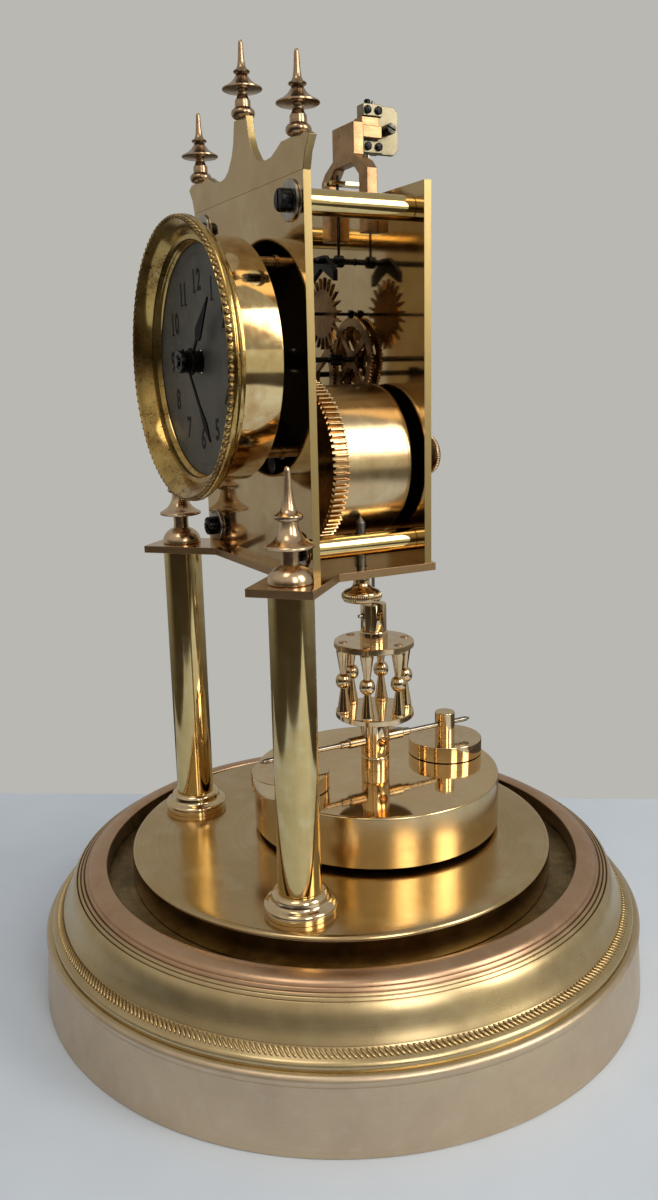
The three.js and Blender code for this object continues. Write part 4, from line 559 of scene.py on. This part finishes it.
# Pillars, their screws and washers
pillar = {"x": 31, "frontY": -25.2, "levels": {"bottom": 147.4, "top": 240}, "plateFront": -27.5,
          "rings": [(3.2, 0), (3.4, 0.2), (3.4, 34.2), (3.2, 34.4), (1.7, 34.4), (1.7, 37.4), (1.3, 37.9)]}
screw = {"washer": [(1.7, 0), (5.1, 0), (5.3, 0.2), (5.3, 0.6), (5.1, 0.8), (1.7, 0.8)],
         "head": [(1.5, -6), (1.5, 0.85), (2.85, 0.85), (3, 1), (3, 3.3), (2.8, 3.65), (2.3, 3.8)],
         "slot": ((8, 0.8, 1.8), (0, 0, 3.8)), "turn": 0.6}
for level, z in pillar["levels"].items():
    for side, sign in (("left", -1), ("right", 1)):
        node = f"{level}_{side}"
        spot = (sign * pillar["x"], pillar["frontY"], z)
        addTurned(f"{node}_post", pillar["rings"], 48, f"{node}_pillar", yellowBrass, spot, "Y")
        front = (spot[0], pillar["plateFront"], z)
        head = turnPiece(f"{node}_screw_head", screw["head"], 40)
        cutSlot(head, *screw["slot"])
        settle(head, front, "-Y", turn=screw["turn"] + sign)
        fit(head, f"{node}_screw", blackSteel, front, alongY=True)
        addTurned(f"{node}_washer", screw["washer"], 48, f"{node}_screw", washerSteel, front, "-Y",
                  hollow=True, replace=False)

# Thumbscrews: rosy knob with a knurled edge below the platform, steel thread with a point above
thumb = {
    "y": -8, "platformBottom": 138.7,
    "knob": [(2.2, -8.2), (4.6, -8.2), (5.3, -7.95), (5.65, -7.4), (5.65, -5.6), (5.2, -5), (4.2, -4.55),
             (3.3, -4.2), (2.7, -3.5), (2.4, -2.4), (2.45, -1), (2.6, -0.6), (2.6, 0)],
    "knurl": {"count": 56, "radius": 5.55, "height": -6.5, "size": (0.2, 1, 0.42)},
    "start": (1.2, 0), "tip": (0.15, 16.6),
    "thread": {"radius": 1.25, "midRadius": 1.5, "pitch": 0.8, "bottom": 0.05, "top": 14.6},
}
knurledBrass = dict(roseBrass, name="knurled_rose_brass", rough=(0.2, 0.3))
for side, sign in (("left", -1), ("right", 1)):
    node = f"{side}_thumbscrew"
    spot = (sign * pillar["x"], thumb["y"], thumb["platformBottom"])
    addTurned(f"{side}_thumb_knob", thumb["knob"], 48, node, roseBrass, spot)
    addRidges(f"{side}_thumb_knurl", thumb["knurl"], node, knurledBrass, spot)
    rings = [thumb["start"], *threadRings(**thumb["thread"]), thumb["tip"]]
    addTurned(f"{side}_thumb_thread", rings, 24, node, dullSteel, spot, replace=False, sharpDegrees=60)
print("pillars and screws ready")

# Suspension: cock, chops, chop screw, spring and fork
for node, finish, softEdge in (("suspension_cock", filedBrass, 0.3), ("suspension_chops", chopSteel, 0.2),
                               ("suspension_spring", silverSteel, 0.05), ("fork", yellowBrass, 0.12)):
    fit(refinedCopy(node, softEdge), node, finish)
chop = {
    "screwPlace": (1.1, 20.22, 267.15), "slot": ((6, 0.5, 1.4), (0, 0, 3.3)), "turn": 1.15,
    "head": [(0.85, -3.2), (0.9, -3.1), (0.9, 0), (1.5, 0), (1.6, 0.1), (1.6, 3), (1.45, 3.25), (1.2, 3.3)],
    "pin": [(0.9, -1.2), (0.9, 0.1), (1.2, 0.15), (1.2, 0.5), (0.95, 0.66)], "pinTurn": 0.5,
    "pinSlot": ((3, 0.28, 0.4), (0, 0, 0.66)),
    "face": 2, "pinY": (13.15, 16.9), "pinZ": (272.25, 262.1),
    "top": [(0.5, -1), (0.5, 0.1), (0.95, 0.15), (0.95, 1.35), (0.75, 1.55)], "topPlace": (0, 14.3, 274),
    "peg": [(0.5, -1), (0.5, 1.1), (0.35, 1.3)], "pegPlace": (0, 16.2, 274),
}
big = turnPiece("chop_screw_head", chop["head"], 32)
cutSlot(big, *chop["slot"])
chopScrewSteel = dict(dullSteel, name="dark_chop_screw_steel", base="#54514c", deep="#2c2a27")
settle(big, chop["screwPlace"], "X", turn=chop["turn"])
fit(big, "chop_screw", chopScrewSteel, chop["screwPlace"])
for row, z in enumerate(chop["pinZ"]):
    for place, y in enumerate(chop["pinY"]):
        small = turnPiece(f"jaw_screw_{row}_{place}", chop["pin"], 24)
        cutSlot(small, *chop["pinSlot"])
        spot = (chop["face"], y, z)
        settle(small, spot, "X", turn=chop["pinTurn"] + row + place)
        fit(small, "suspension_chops", blackSteel, spot, replace=False)
addTurned("jaw_top_screw", chop["top"], 24, "suspension_chops", blackSteel, chop["topPlace"], replace=False)
addTurned("jaw_top_peg", chop["peg"], 20, "suspension_chops", chopSteel, chop["pegPlace"], replace=False)
print("suspension ready")

# Dial case, bezel and dial
case = {
    "z": 200, "sides": 128, "inward": -0.05, "backSlope": 0.5,
    "drum": [(33.7, -33.1), (33.75, -32.6), (34, -32.5), (34.35, -32.5), (34.5, -32.7), (34.5, -45.3),
             (33.7, -45.3)],
    "footCircle": 32.5, "footDegrees": (52, 128, 232, 308),
    "foot": [(1.6, -38.5), (1.6, -28.1), (2.1, -28.05), (2.1, -27.55)],
    "bezel": [(34.8, -45.6), (34.8, -44.5), (36.6, -44.5), (36.8, -44.65), (37.1, -44.8), (37.8, -44.95),
              (38.25, -45.3), (38.35, -45.9), (38.3, -46.4), (38.5, -46.6), (39.1, -46.75), (39.6, -47.15),
              (39.85, -47.7), (39.85, -48.3), (39.65, -48.75), (39.3, -48.95), (39.15, -49.6), (39, -50.2),
              (38.8, -50.4), (38.5, -50), (38, -49.7), (37.2, -49.2), (36.4, -48.5), (35.7, -47.6),
              (35.1, -46.6), (34.6, -45.55), (34.35, -45.05), (34.1, -45.15), (33.85, -45.1), (33.5, -44.5),
              (32.95, -43.95), (32.55, -43.6), (32.4, -43.2), (33.4, -43.2), (33.4, -45.6)],
    "knurl": {"count": 106, "radius": 39.1, "height": -49.65, "size": (1.12, 0.85, 0.62), "tilt": 0.35,
              "facets": 12},
    "dial": [(3.4, -42.9), (33.4, -42.9), (33.4, -42.3), (3.4, -42.3)],
}
dialPlace = (0, 0, case["z"])
drum = addTurned("dial_drum", case["drum"], case["sides"], "dial_case", caseBrass, dialPlace, "Y",
                 hollow=True)
# Inward faces of the drum take the dull black as painted shade inside the case
addFinish(drum, shadeLining, lambda face: face.normal.dot(Vector((
    face.center.x, 0, face.center.z - case["z"] * mm))) < case["inward"] * face.center.length)
for index, degrees in enumerate(case["footDegrees"]):
    angle = math.radians(degrees)
    spot = (case["footCircle"] * math.cos(angle), 0, case["z"] + case["footCircle"] * math.sin(angle))
    addTurned(f"dial_foot_{index}", case["foot"], 24, "dial_case", wheelBrass, spot, "Y", replace=False)
addTurned("dial_bezel", case["bezel"], case["sides"], "bezel", bezelBrass, dialPlace, "Y", hollow=True)
addRidges("bezel_knurl", case["knurl"], "bezel", knurlBrass, dialPlace, "Y")
# Dial plate in the darkened silver: painted shade
dial = addTurned("dial_plate", case["dial"], case["sides"], "dial", shadedSilverDial, dialPlace, "Y", hollow=True)
# Back faces of the dial take the same painted shade
addFinish(dial, shadeLining, lambda face: face.normal.y > case["backSlope"])

# Numbers and minute dots, painted on the dial. Each digit is its own letter shape, a one gets a foot.
numbers = {"radius": 22.3, "size": 8.4, "narrow": 0.8, "curveSteps": 4, "weight": 0.026, "pitch": 3.7,
           "onePitch": 3.1, "thickness": 0.02, "oneFoot": (1.1, 0.26, 2.9), "oneShift": 0.3,
           "face": -42.92, "dotRadius": 29.6, "dot": (0.1, 0.26)}
parts = []


def paintBar(wide, high, x, y, turn=0.0, sides=4):
    bar = startPiece("bar", bpy.ops.mesh.primitive_cylinder_add, vertices=sides, radius=1,
                     depth=2 * numbers["thickness"], rotation=(0, 0, quarter / 2 if sides == 4 else 0))
    applyPlace()
    bar.scale = (wide, high, 1)
    bar.rotation_euler.z = turn
    bar.location = (x, y, 0)
    applyPlace()
    parts.append(bar)


for hour in range(1, 13):
    angle = fullTurn * hour / 12
    centreX, centreY = numbers["radius"] * math.sin(angle), numbers["radius"] * math.cos(angle)
    digits = str(hour)
    pitch = numbers["onePitch"] if digits == "11" else numbers["pitch"]
    for index, digit in enumerate(digits):
        x = centreX + (index - (len(digits) - 1) / 2) * pitch
        text = startPiece("digit", bpy.ops.object.text_add, location=(x, centreY, 0))
        text.data.body = digit
        text.data.size = numbers["size"]
        text.data.align_x, text.data.align_y = "CENTER", "CENTER"
        text.data.extrude = numbers["thickness"]
        text.data.offset = numbers["weight"] * numbers["size"]
        text.data.resolution_u = numbers["curveSteps"]
        text.scale.x = numbers["narrow"]
        bpy.ops.object.convert(target="MESH")
        applyPlace()
        parts.append(bpy.context.object)
        if digit == "1":
            wide, high, drop = numbers["oneFoot"]
            paintBar(wide * math.sqrt(2), high * math.sqrt(2), x + numbers["oneShift"], centreY - drop)
for minute in range(60):
    angle = fullTurn * minute / 60
    wide, high = numbers["dot"]
    paintBar(wide, high if minute % 5 else 2 * high, numbers["dotRadius"] * math.sin(angle),
             numbers["dotRadius"] * math.cos(angle), -angle, 8)
deselectAll()
for part in parts:
    part.select_set(True)
bpy.context.view_layer.objects.active = parts[0]
bpy.ops.object.join()
numerals = bpy.context.object
numerals.name = "dial_numbers"
finishShape(numerals, 0)
settle(numerals, (0, numbers["face"], case["z"]), "-Y")
fit(numerals, "dial", dialPaint, replace=False)
print("dial ready")

# Hands, drawn pointing up and turned clockwise to the time, with black collets and a round nut
hands = {
    "thickness": 0.5, "hours": 1, "minutes": 24, "softEdge": 0.1, "blackBefore": -42.6, "gearEdge": 0.05,
    "hour": {"y": -45.7, "hub": 3.9,
             "side": [(0.6, -3.6), (0.55, 4.4), (0.6, 7.9), (1.3, 8.5), (2.1, 9.5), (2.25, 10.8), (1.8, 13.4),
                      (1.2, 16.4), (0.65, 19.6), (0.2, 22.6)]},
    "minute": {"y": -47.1, "hub": 3.1,
               "side": [(0.5, -4.2), (0.45, 8), (0.5, 15.5), (0.85, 18.4), (1.25, 21.2), (1.05, 23.2),
                        (0.55, 25.3), (0.2, 27.4)]},
    "collets": [("hour_wheel", -42.6, [(3.1, 0), (3.1, 2.8)]),
                ("cannon_pinion", -46, [(2.7, 0), (2.7, 0.8)])],
    "nutY": -47.9,
    "nut": [(2.9, 0), (3.2, 0.15), (3.2, 1.35), (2.95, 1.65), (2.1, 1.7), (1.9, 1.35), (1.3, 1.35),
            (1.2, 2.05), (1, 2.2)],
}
minutes = hands["minutes"]
for name, degrees in (("hour", 30 * (hands["hours"] + minutes / 60)), ("minute", 6 * minutes)):
    hand = hands[name]
    outline = hand["side"] + [(-x, y) for x, y in reversed(hand["side"])]
    blade = cutSheet(f"{name}_blade", outline, hands["thickness"], hands["softEdge"])
    place = (0, hand["y"], case["z"])
    settle(blade, place, "-Y", turn=-math.radians(degrees))
    fit(blade, f"{name}_hand", handPaint, place, alongY=True)
    half = hands["thickness"] / 2
    addTurned(f"{name}_hub", [(hand["hub"], -half), (hand["hub"], half)], 32, f"{name}_hand", handPaint,
              place, "-Y", replace=False, softEdge=hands["softEdge"])
for node, y, rings in hands["collets"]:
    addTurned(f"{node}_collet", rings, 40, node, blackSteel, (0, y, case["z"]), "-Y", centre=dialPlace,
              replace=False, softEdge=hands["softEdge"])
addTurned("hand_nut_turned", hands["nut"], 40, "hand_nut", blackSteel, (0, hands["nutY"], case["z"]), "-Y")
for node, finish in (("cannon_pinion", blackSteel), ("minute_wheel", wheelBrass), ("hour_wheel", wheelBrass)):
    piece = refinedCopy(node, hands["gearEdge"])
    fit(piece, node, finish)
    addFinish(piece, blackSteel, lambda face: face.center.y < hands["blackBefore"] * mm)
print("hands ready")

# Barrel with the great wheel, the winding work and the train
train = {
    "barrel": (13.5, 0, 170.3), "teeth": 84, "tip": 24.35, "root": 22.75, "chamfer": 0.45,
    "wheelY": (-19.4, -14.9), "darkArbor": 2.3, "softEdge": 0.06,
    "drum": [(21.3, -15.2), (22, -15.2), (22, -14.4), (22.3, -14.3), (22.3, 5.2), (22.1, 5.3),
             (22.1, 5.5), (22.3, 5.6), (22.3, 6.3), (22.1, 6.6), (21.3, 6.6)],
    "cover": [(2.6, 5.6), (2.6, 6.3), (6, 6.3), (6.2, 6.05), (20.6, 6.05), (20.8, 6.25), (20.9, 5.6)],
    "knob": [(2, 0), (4.2, 0), (5.2, 0.35), (5.8, 0.9), (5.8, 1.9), (5.4, 2.4), (4.4, 2.75), (3.6, 3.2),
             (2.9, 3.2), (2.6, 2.8)],
    "arbor": [(2, -27.5), (2.2, -27.2), (2.2, -17.8), (4, -17.8), (4, 5), (2.2, 5), (2.2, 25.5),
              (1.9, 27.4)],
    "knobY": 25.7, "knurl": {"count": 60, "radius": 5.75, "height": 1.4, "size": (0.2, 0.62, 0.25)},
}
barrelPlace = train["barrel"]
outline = []
flank = train["tip"] - train["chamfer"]
for tooth in range(train["teeth"]):
    for share, radius in ((-0.27, train["root"]), (-0.25, flank), (-0.14, train["tip"]), (0.14, train["tip"]),
                          (0.25, flank), (0.27, train["root"])):
        angle = fullTurn * (tooth + share) / train["teeth"]
        outline.append((radius * math.cos(angle), radius * math.sin(angle)))
front, rear = train["wheelY"]
wheel = cutSheet("great_wheel", outline, rear - front, train["softEdge"])
settle(wheel, (barrelPlace[0], (front + rear) / 2, barrelPlace[2]), "Y")
fit(wheel, "barrel", toothBrass, barrelPlace, alongY=True)
addTurned("barrel_drum", train["drum"], 96, "barrel", barrelBrass, barrelPlace, "Y", hollow=True,
          replace=False)
# Barrel lid: dull black as painted shade for the dark rear end of the barrel
addTurned("barrel_lid", train["cover"], 96, "barrel_cover", shadeLining, barrelPlace, "Y", hollow=True)
# Winding knob: rose brass darkened as painted shade for the knob's shaded front face
shadedKnobBrass = dict(roseBrass, name="rose_brass_painted_knob_shade", base="#9a6b48", deep="#5f3d26", rough=(0.12, 0.25))
knobPlace = (barrelPlace[0], train["knobY"], barrelPlace[2])
addTurned("winding_knob_turned", train["knob"], 48, "winding_knob", shadedKnobBrass, knobPlace, "Y")
addRidges("winding_knurl", train["knurl"], "winding_knob", roseBrass, knobPlace, "Y")
addTurned("winding_arbor_turned", train["arbor"], 32, "winding_arbor", dullSteel, barrelPlace, "Y")
for node, finish in (("ratchet_wheel", dullSteel), ("click", dullSteel), ("second_wheel", wheelBrass),
                     ("third_wheel", wheelBrass), ("centre_wheel", wheelBrass), ("escape_wheel", wheelBrass),
                     ("anchor", blackSteel)):
    piece = refinedCopy(node, train["softEdge"])
    fit(piece, node, finish)
    if finish is wheelBrass:  # arbors and pinions are dark steel
        places = [corner.co for corner in piece.data.vertices]
        middle = Vector([(min(co[i] for co in places) + max(co[i] for co in places)) / 2 for i in range(3)])
        addFinish(piece, blackSteel, lambda face: math.hypot(
            face.center.x - middle.x, face.center.z - middle.z) < train["darkArbor"] * mm)
nodes["mainspring"].data.materials.clear()
nodes["mainspring"].data.materials.append(makeFinish(bluedSteel))
print("train ready")

# Pendulum
pend = {
    "axis": (0, 14.2, 0), "sides": 144, "edgeSlope": 0.6,
    "disk": [(40.6, 46.1), (41.3, 46.2), (41.8, 46.7), (41.8, 62.7), (41.65, 63.15), (41.3, 63.42),
             (40.8, 63.5)],
    "post": [(4.85, 63.55), (4.85, 67.6), (4.45, 68.1), (4.85, 68.6), (4.85, 81.9), (4.6, 82.25)],
    "rodZ": 73.9, "rodShift": -1.85, "keyHole": (1.6, 6), "keyX": 4,
    "keyRing": [(1.55, 3.9), (1.95, 4.4), (1.95, 4.85), (1.6, 4.95)],
    "sleeve": [(0.95, 4.7), (1.85, 4.7), (1.85, 10.3), (1.7, 10.6), (1.3, 10.8), (1.3, 13.4), (1.15, 13.7),
               (0.95, 13.8)],
    "weightOffset": 30.65,
    "weight": [(12.6, 63.6), (12.9, 63.8), (12.9, 68.75), (12.65, 69.1), (3.55, 69.1), (3.5, 69.3),
               (3.5, 77.9), (3.3, 78.25), (2.9, 78.4)],
    "lower": [(12.9, 82.3), (13.2, 82.55), (13.2, 84.1), (12.9, 84.4)],
    "upper": [(13.1, 106.6), (13.4, 106.85), (13.4, 108.4), (13.1, 108.7), (4.75, 108.7), (4.7, 108.9),
              (4.7, 111.6), (4.45, 112)],
    "baluster": [(2.2, 84.4), (2.3, 84.7), (2.25, 85.4), (1.15, 92.6), (1.1, 93), (1.7, 93.25), (2.3, 93.9),
                 (2.6, 94.9), (2.6, 96.1), (2.3, 97.1), (1.7, 97.75), (1.1, 98), (1.15, 98.4),
                 (2.25, 105.6), (2.3, 106.3), (2.2, 106.6)],
    "balusters": 6, "circle": 10.8, "phase": 17,
    "rivet": [(1.5, 108.7), (1.45, 108.85), (1.1, 108.95)],
    "hook": [(4.1, 112.05), (4.3, 112.3), (4.3, 120.9), (4.05, 121.3)],
    "slot": ((12, 2.2, 5.4), (0, 0, 118.8)), "pinHole": (0.9, 12), "pinZ": 117.4,
    "pin": [(0.5, -3.4), (0.6, -3.2), (0.6, 5.6), (0.5, 5.8)],
}
axis = pend["axis"]
disk = addTurned("pendulum_disk_turned", pend["disk"], pend["sides"], "pendulum_disk", discBrass, axis)
addFinish(disk, discEdgeBrass, lambda face: abs(face.normal.z) < pend["edgeSlope"], axis)
post = turnPiece("pendulum_post_turned", pend["post"], 64)
drill(post, *pend["keyHole"], (pend["keyX"], 0, pend["rodZ"]), (0, quarter, 0))
fit(settle(post, axis), "pendulum_post", roseBrass, axis)
rodCentre = (axis[0], axis[1], pend["rodZ"])
addTurned("key_hole_ring", pend["keyRing"], 32, "pendulum_post", silverSteel, rodCentre, "X", centre=axis,
          replace=False, hollow=True)

rod = {"start": (0.9, 0), "point": [(0.85, 39.7), (0.4, 40.9), (0.15, 41.3)],
       "thread": {"radius": 0.9, "midRadius": 0.74, "pitch": 0.7, "bottom": 13.8, "top": 37.3}}
sleeveSteel = dict(silverSteel, name="sleeve_steel", base="#ab9d88")
rivetBrass = dict(roseBrass, name="rivet_brass", base="#8f6238")
rodPlace = (axis[0], axis[1] + pend["rodShift"], pend["rodZ"])
for name, way in (("rear", 1), ("front", -1)):
    facing = "Y" if way > 0 else "-Y"
    rings = [rod["start"], *threadRings(**rod["thread"]), *rod["point"]]
    addTurned(f"rod_{name}", rings, 20, "regulating_rod", silverSteel, rodPlace, facing,
              replace=name == "rear", sharpDegrees=70)
    addTurned(f"rod_sleeve_{name}", pend["sleeve"], 32, "regulating_rod", sleeveSteel, rodCentre, facing,
              centre=rodPlace, replace=False, hollow=True)
    weightPlace = (axis[0], rodPlace[1] + way * pend["weightOffset"], 0)
    addTurned(f"{name}_weight_turned", pend["weight"], 80, f"{name}_weight", roseBrass, weightPlace)

addTurned("gallery_lower_plate", pend["lower"], 80, "gallery_bottom", roseBrass, axis)
addTurned("gallery_upper_plate", pend["upper"], 80, "gallery_top", roseBrass, axis)
for index in range(pend["balusters"]):
    angle = math.radians(pend["phase"] + 360 / pend["balusters"] * index)
    spot = (axis[0] + pend["circle"] * math.cos(angle), axis[1] + pend["circle"] * math.sin(angle), 0)
    addTurned(f"baluster_{index}", pend["baluster"], 28, "gallery_bottom", roseBrass, spot, replace=False)
    addTurned(f"gallery_rivet_{index}", pend["rivet"], 20, "gallery_top", rivetBrass, spot, replace=False)
hook = turnPiece("pendulum_hook_turned", pend["hook"], 48)
cutSlot(hook, *pend["slot"])
drill(hook, *pend["pinHole"], (0, 0, pend["pinZ"]), (quarter, 0, 0))
fit(settle(hook, axis), "pendulum_hook", roseBrass, axis)
pin = settle(turnPiece("hook_pin", pend["pin"], 20), (axis[0], axis[1], pend["pinZ"]), "-Y")
fit(pin, "pendulum_hook", silverSteel, axis, replace=False)
print("pendulum ready")

# Stage: a pale table with its far edge where the photograph has it, a pale surround and a dim room in front
stage = {
    "floor": "#d2dae2", "floorShade": "#c6ced8", "floorRough": 0.6, "fibre": 0.025,
    "fibreRange": (0.3, 0.7, 0.0, 0.3), "corners": [(-0.279, -0.201), (-0.03, -0.27), (0.205, -0.32),
                                                    (0.47, 0.10), (0.50, 0.19), (-0.03, 0.19)],
    "seen": "#b9b8b3", "lit": "#ffffff", "litStrength": 0.36, "wall": "#a9a69f", "room": "#2e261e",
    "ceiling": "#c2bbae", "below": "#4a443b", "roomWay": (0.76, -0.65, 0.0), "roomRange": (-0.1, 0.5),
    "ceilingRange": (-0.02, 0.42), "belowRange": (-0.32, -0.12),
}
ground = cutFace("floor", stage["corners"])
openMesh()
bpy.ops.mesh.normals_make_consistent(inside=False)
closeMesh()
paper = bpy.data.materials.new("pale_paper_floor")
paper.use_nodes = True
tree = paper.node_tree
tree.nodes.clear()
coords = addNode(tree, "ShaderNodeTexCoord").outputs["Object"]
fibres = addNode(tree, "ShaderNodeTexNoise", {"Vector": coords, "Scale": 1 / stage["fibre"]})
share = addNode(tree, "ShaderNodeMapRange", [fibres, *stage["fibreRange"]])
tint = addNode(tree, "ShaderNodeMixRGB", [share, linear(stage["floor"]), linear(stage["floorShade"])])
surface = addNode(tree, "ShaderNodeBsdfPrincipled", {"Base Color": tint, "Roughness": stage["floorRough"]})
addNode(tree, "ShaderNodeOutputMaterial", [surface])
ground.data.materials.append(paper)

world = bpy.data.worlds.new("surround")
bpy.context.scene.world = world
world.use_nodes = True
tree = world.node_tree
tree.nodes.clear()
coords = addNode(tree, "ShaderNodeTexCoord").outputs["Generated"]
path = addNode(tree, "ShaderNodeLightPath").outputs
way = Vector(stage["roomWay"]).normalized()
facing = addNode(tree, "ShaderNodeVectorMath", [coords, way], operation="DOT_PRODUCT").outputs["Value"]
heading = addNode(tree, "ShaderNodeSeparateXYZ", [coords]).outputs["Z"]
upward = addNode(tree, "ShaderNodeMapRange", [heading, *stage["ceilingRange"]])
inRoom = addNode(tree, "ShaderNodeMapRange", [facing, *stage["roomRange"]])
downward = addNode(tree, "ShaderNodeMapRange", [heading, *stage["belowRange"]])
above = addNode(tree, "ShaderNodeMixRGB", [upward, linear(stage["room"]), linear(stage["ceiling"])])
level = addNode(tree, "ShaderNodeMixRGB", [inRoom, linear(stage["wall"]), above])
mirrored = addNode(tree, "ShaderNodeMixRGB", [downward, linear(stage["below"]), level])
litSky = addNode(tree, "ShaderNodeBackground", [linear(stage["lit"]), stage["litStrength"]])
seenSky = addNode(tree, "ShaderNodeBackground", [linear(stage["seen"]), 1.0])
glossSky = addNode(tree, "ShaderNodeBackground", [mirrored, 1.0])
direct = addNode(tree, "ShaderNodeMath", [path["Is Camera Ray"], path["Is Transmission Ray"]],
                 operation="MAXIMUM")
first = addNode(tree, "ShaderNodeMixShader", [direct, litSky, seenSky])
second = addNode(tree, "ShaderNodeMixShader", [path["Is Glossy Ray"], first, glossSky])
addNode(tree, "ShaderNodeOutputWorld", [second])

# Lamps. Each way is degrees round from +X towards +Y and degrees up. All but the fill show in the metal.
lamps = {
    "window_far": {"way": (36, 27), "distance": 1.1, "size": (0.36, 0.66), "power": 4.2, "colour": "#fffaf0"},
    "window_near": {"way": (-3, 27), "distance": 1.1, "size": (0.30, 0.60), "power": 2.9,
                    "colour": "#fdf8ee"},
    "sill": {"way": (27, 1), "distance": 1.25, "size": (0.62, 0.42), "power": 0.42, "colour": "#f6f3d8"},
    "ceiling": {"way": (-60, 62), "distance": 1.2, "size": (0.4, 0.5), "power": 1.6, "colour": "#fbf3e6"},
    "fill": {"way": (60, 75), "distance": 1.4, "size": (1.0, 1.0), "power": 3.6, "colour": "#e8f0ff"},
}
aim = Vector((0, 0, 0.15))
for name, lamp in lamps.items():
    light = bpy.data.lights.new(name, "AREA")
    light.shape = "RECTANGLE"
    light.size, light.size_y = lamp["size"]
    light.energy = lamp["power"]
    light.color = linear(lamp["colour"])[:3]
    holder = bpy.data.objects.new(name, light)
    bpy.context.scene.collection.objects.link(holder)
    lampAround, lampUp = (math.radians(degrees) for degrees in lamp["way"])
    reach = math.cos(lampUp)
    lampWay = Vector((reach * math.cos(lampAround), reach * math.sin(lampAround), math.sin(lampUp)))
    holder.location = aim + lampWay * lamp["distance"]
    holder.rotation_euler = (aim - holder.location).to_track_quat("-Z", "Y").to_euler()
    holder.visible_camera = False
    holder.visible_glossy = name != "fill"

# Camera, fitted to the photograph: degrees round and down, tilt, place and lens
view = {"azimuth": 62.05, "down": 12.52, "roll": -1.30, "place": (0.28075, -0.1514, 0.19491), "lens": 30.154,
        "sensor": 36, "nearest": 0.01}
around, down, roll = (math.radians(view[key]) for key in ("azimuth", "down", "roll"))
forward = Vector((-math.sin(around) * math.cos(down), math.cos(around) * math.cos(down), -math.sin(down)))
levelRight = Vector((math.cos(around), math.sin(around), 0))
levelUp = levelRight.cross(forward)
right = levelRight * math.cos(roll) + levelUp * math.sin(roll)
up = levelUp * math.cos(roll) - levelRight * math.sin(roll)
lens = bpy.data.cameras.new("camera")
lens.lens = view["lens"]
lens.sensor_width = view["sensor"]
lens.clip_start = view["nearest"]
camera = bpy.data.objects.new("camera", lens)
bpy.context.scene.collection.objects.link(camera)
facingWay = Matrix((right, up, -forward)).transposed().to_4x4()
camera.matrix_world = Matrix.Translation(Vector(view["place"])) @ facingWay
bpy.context.scene.camera = camera
bpy.context.scene.view_settings.view_transform = "Standard"
print("stage, lamps and camera ready")

bpy.context.view_layer.update()
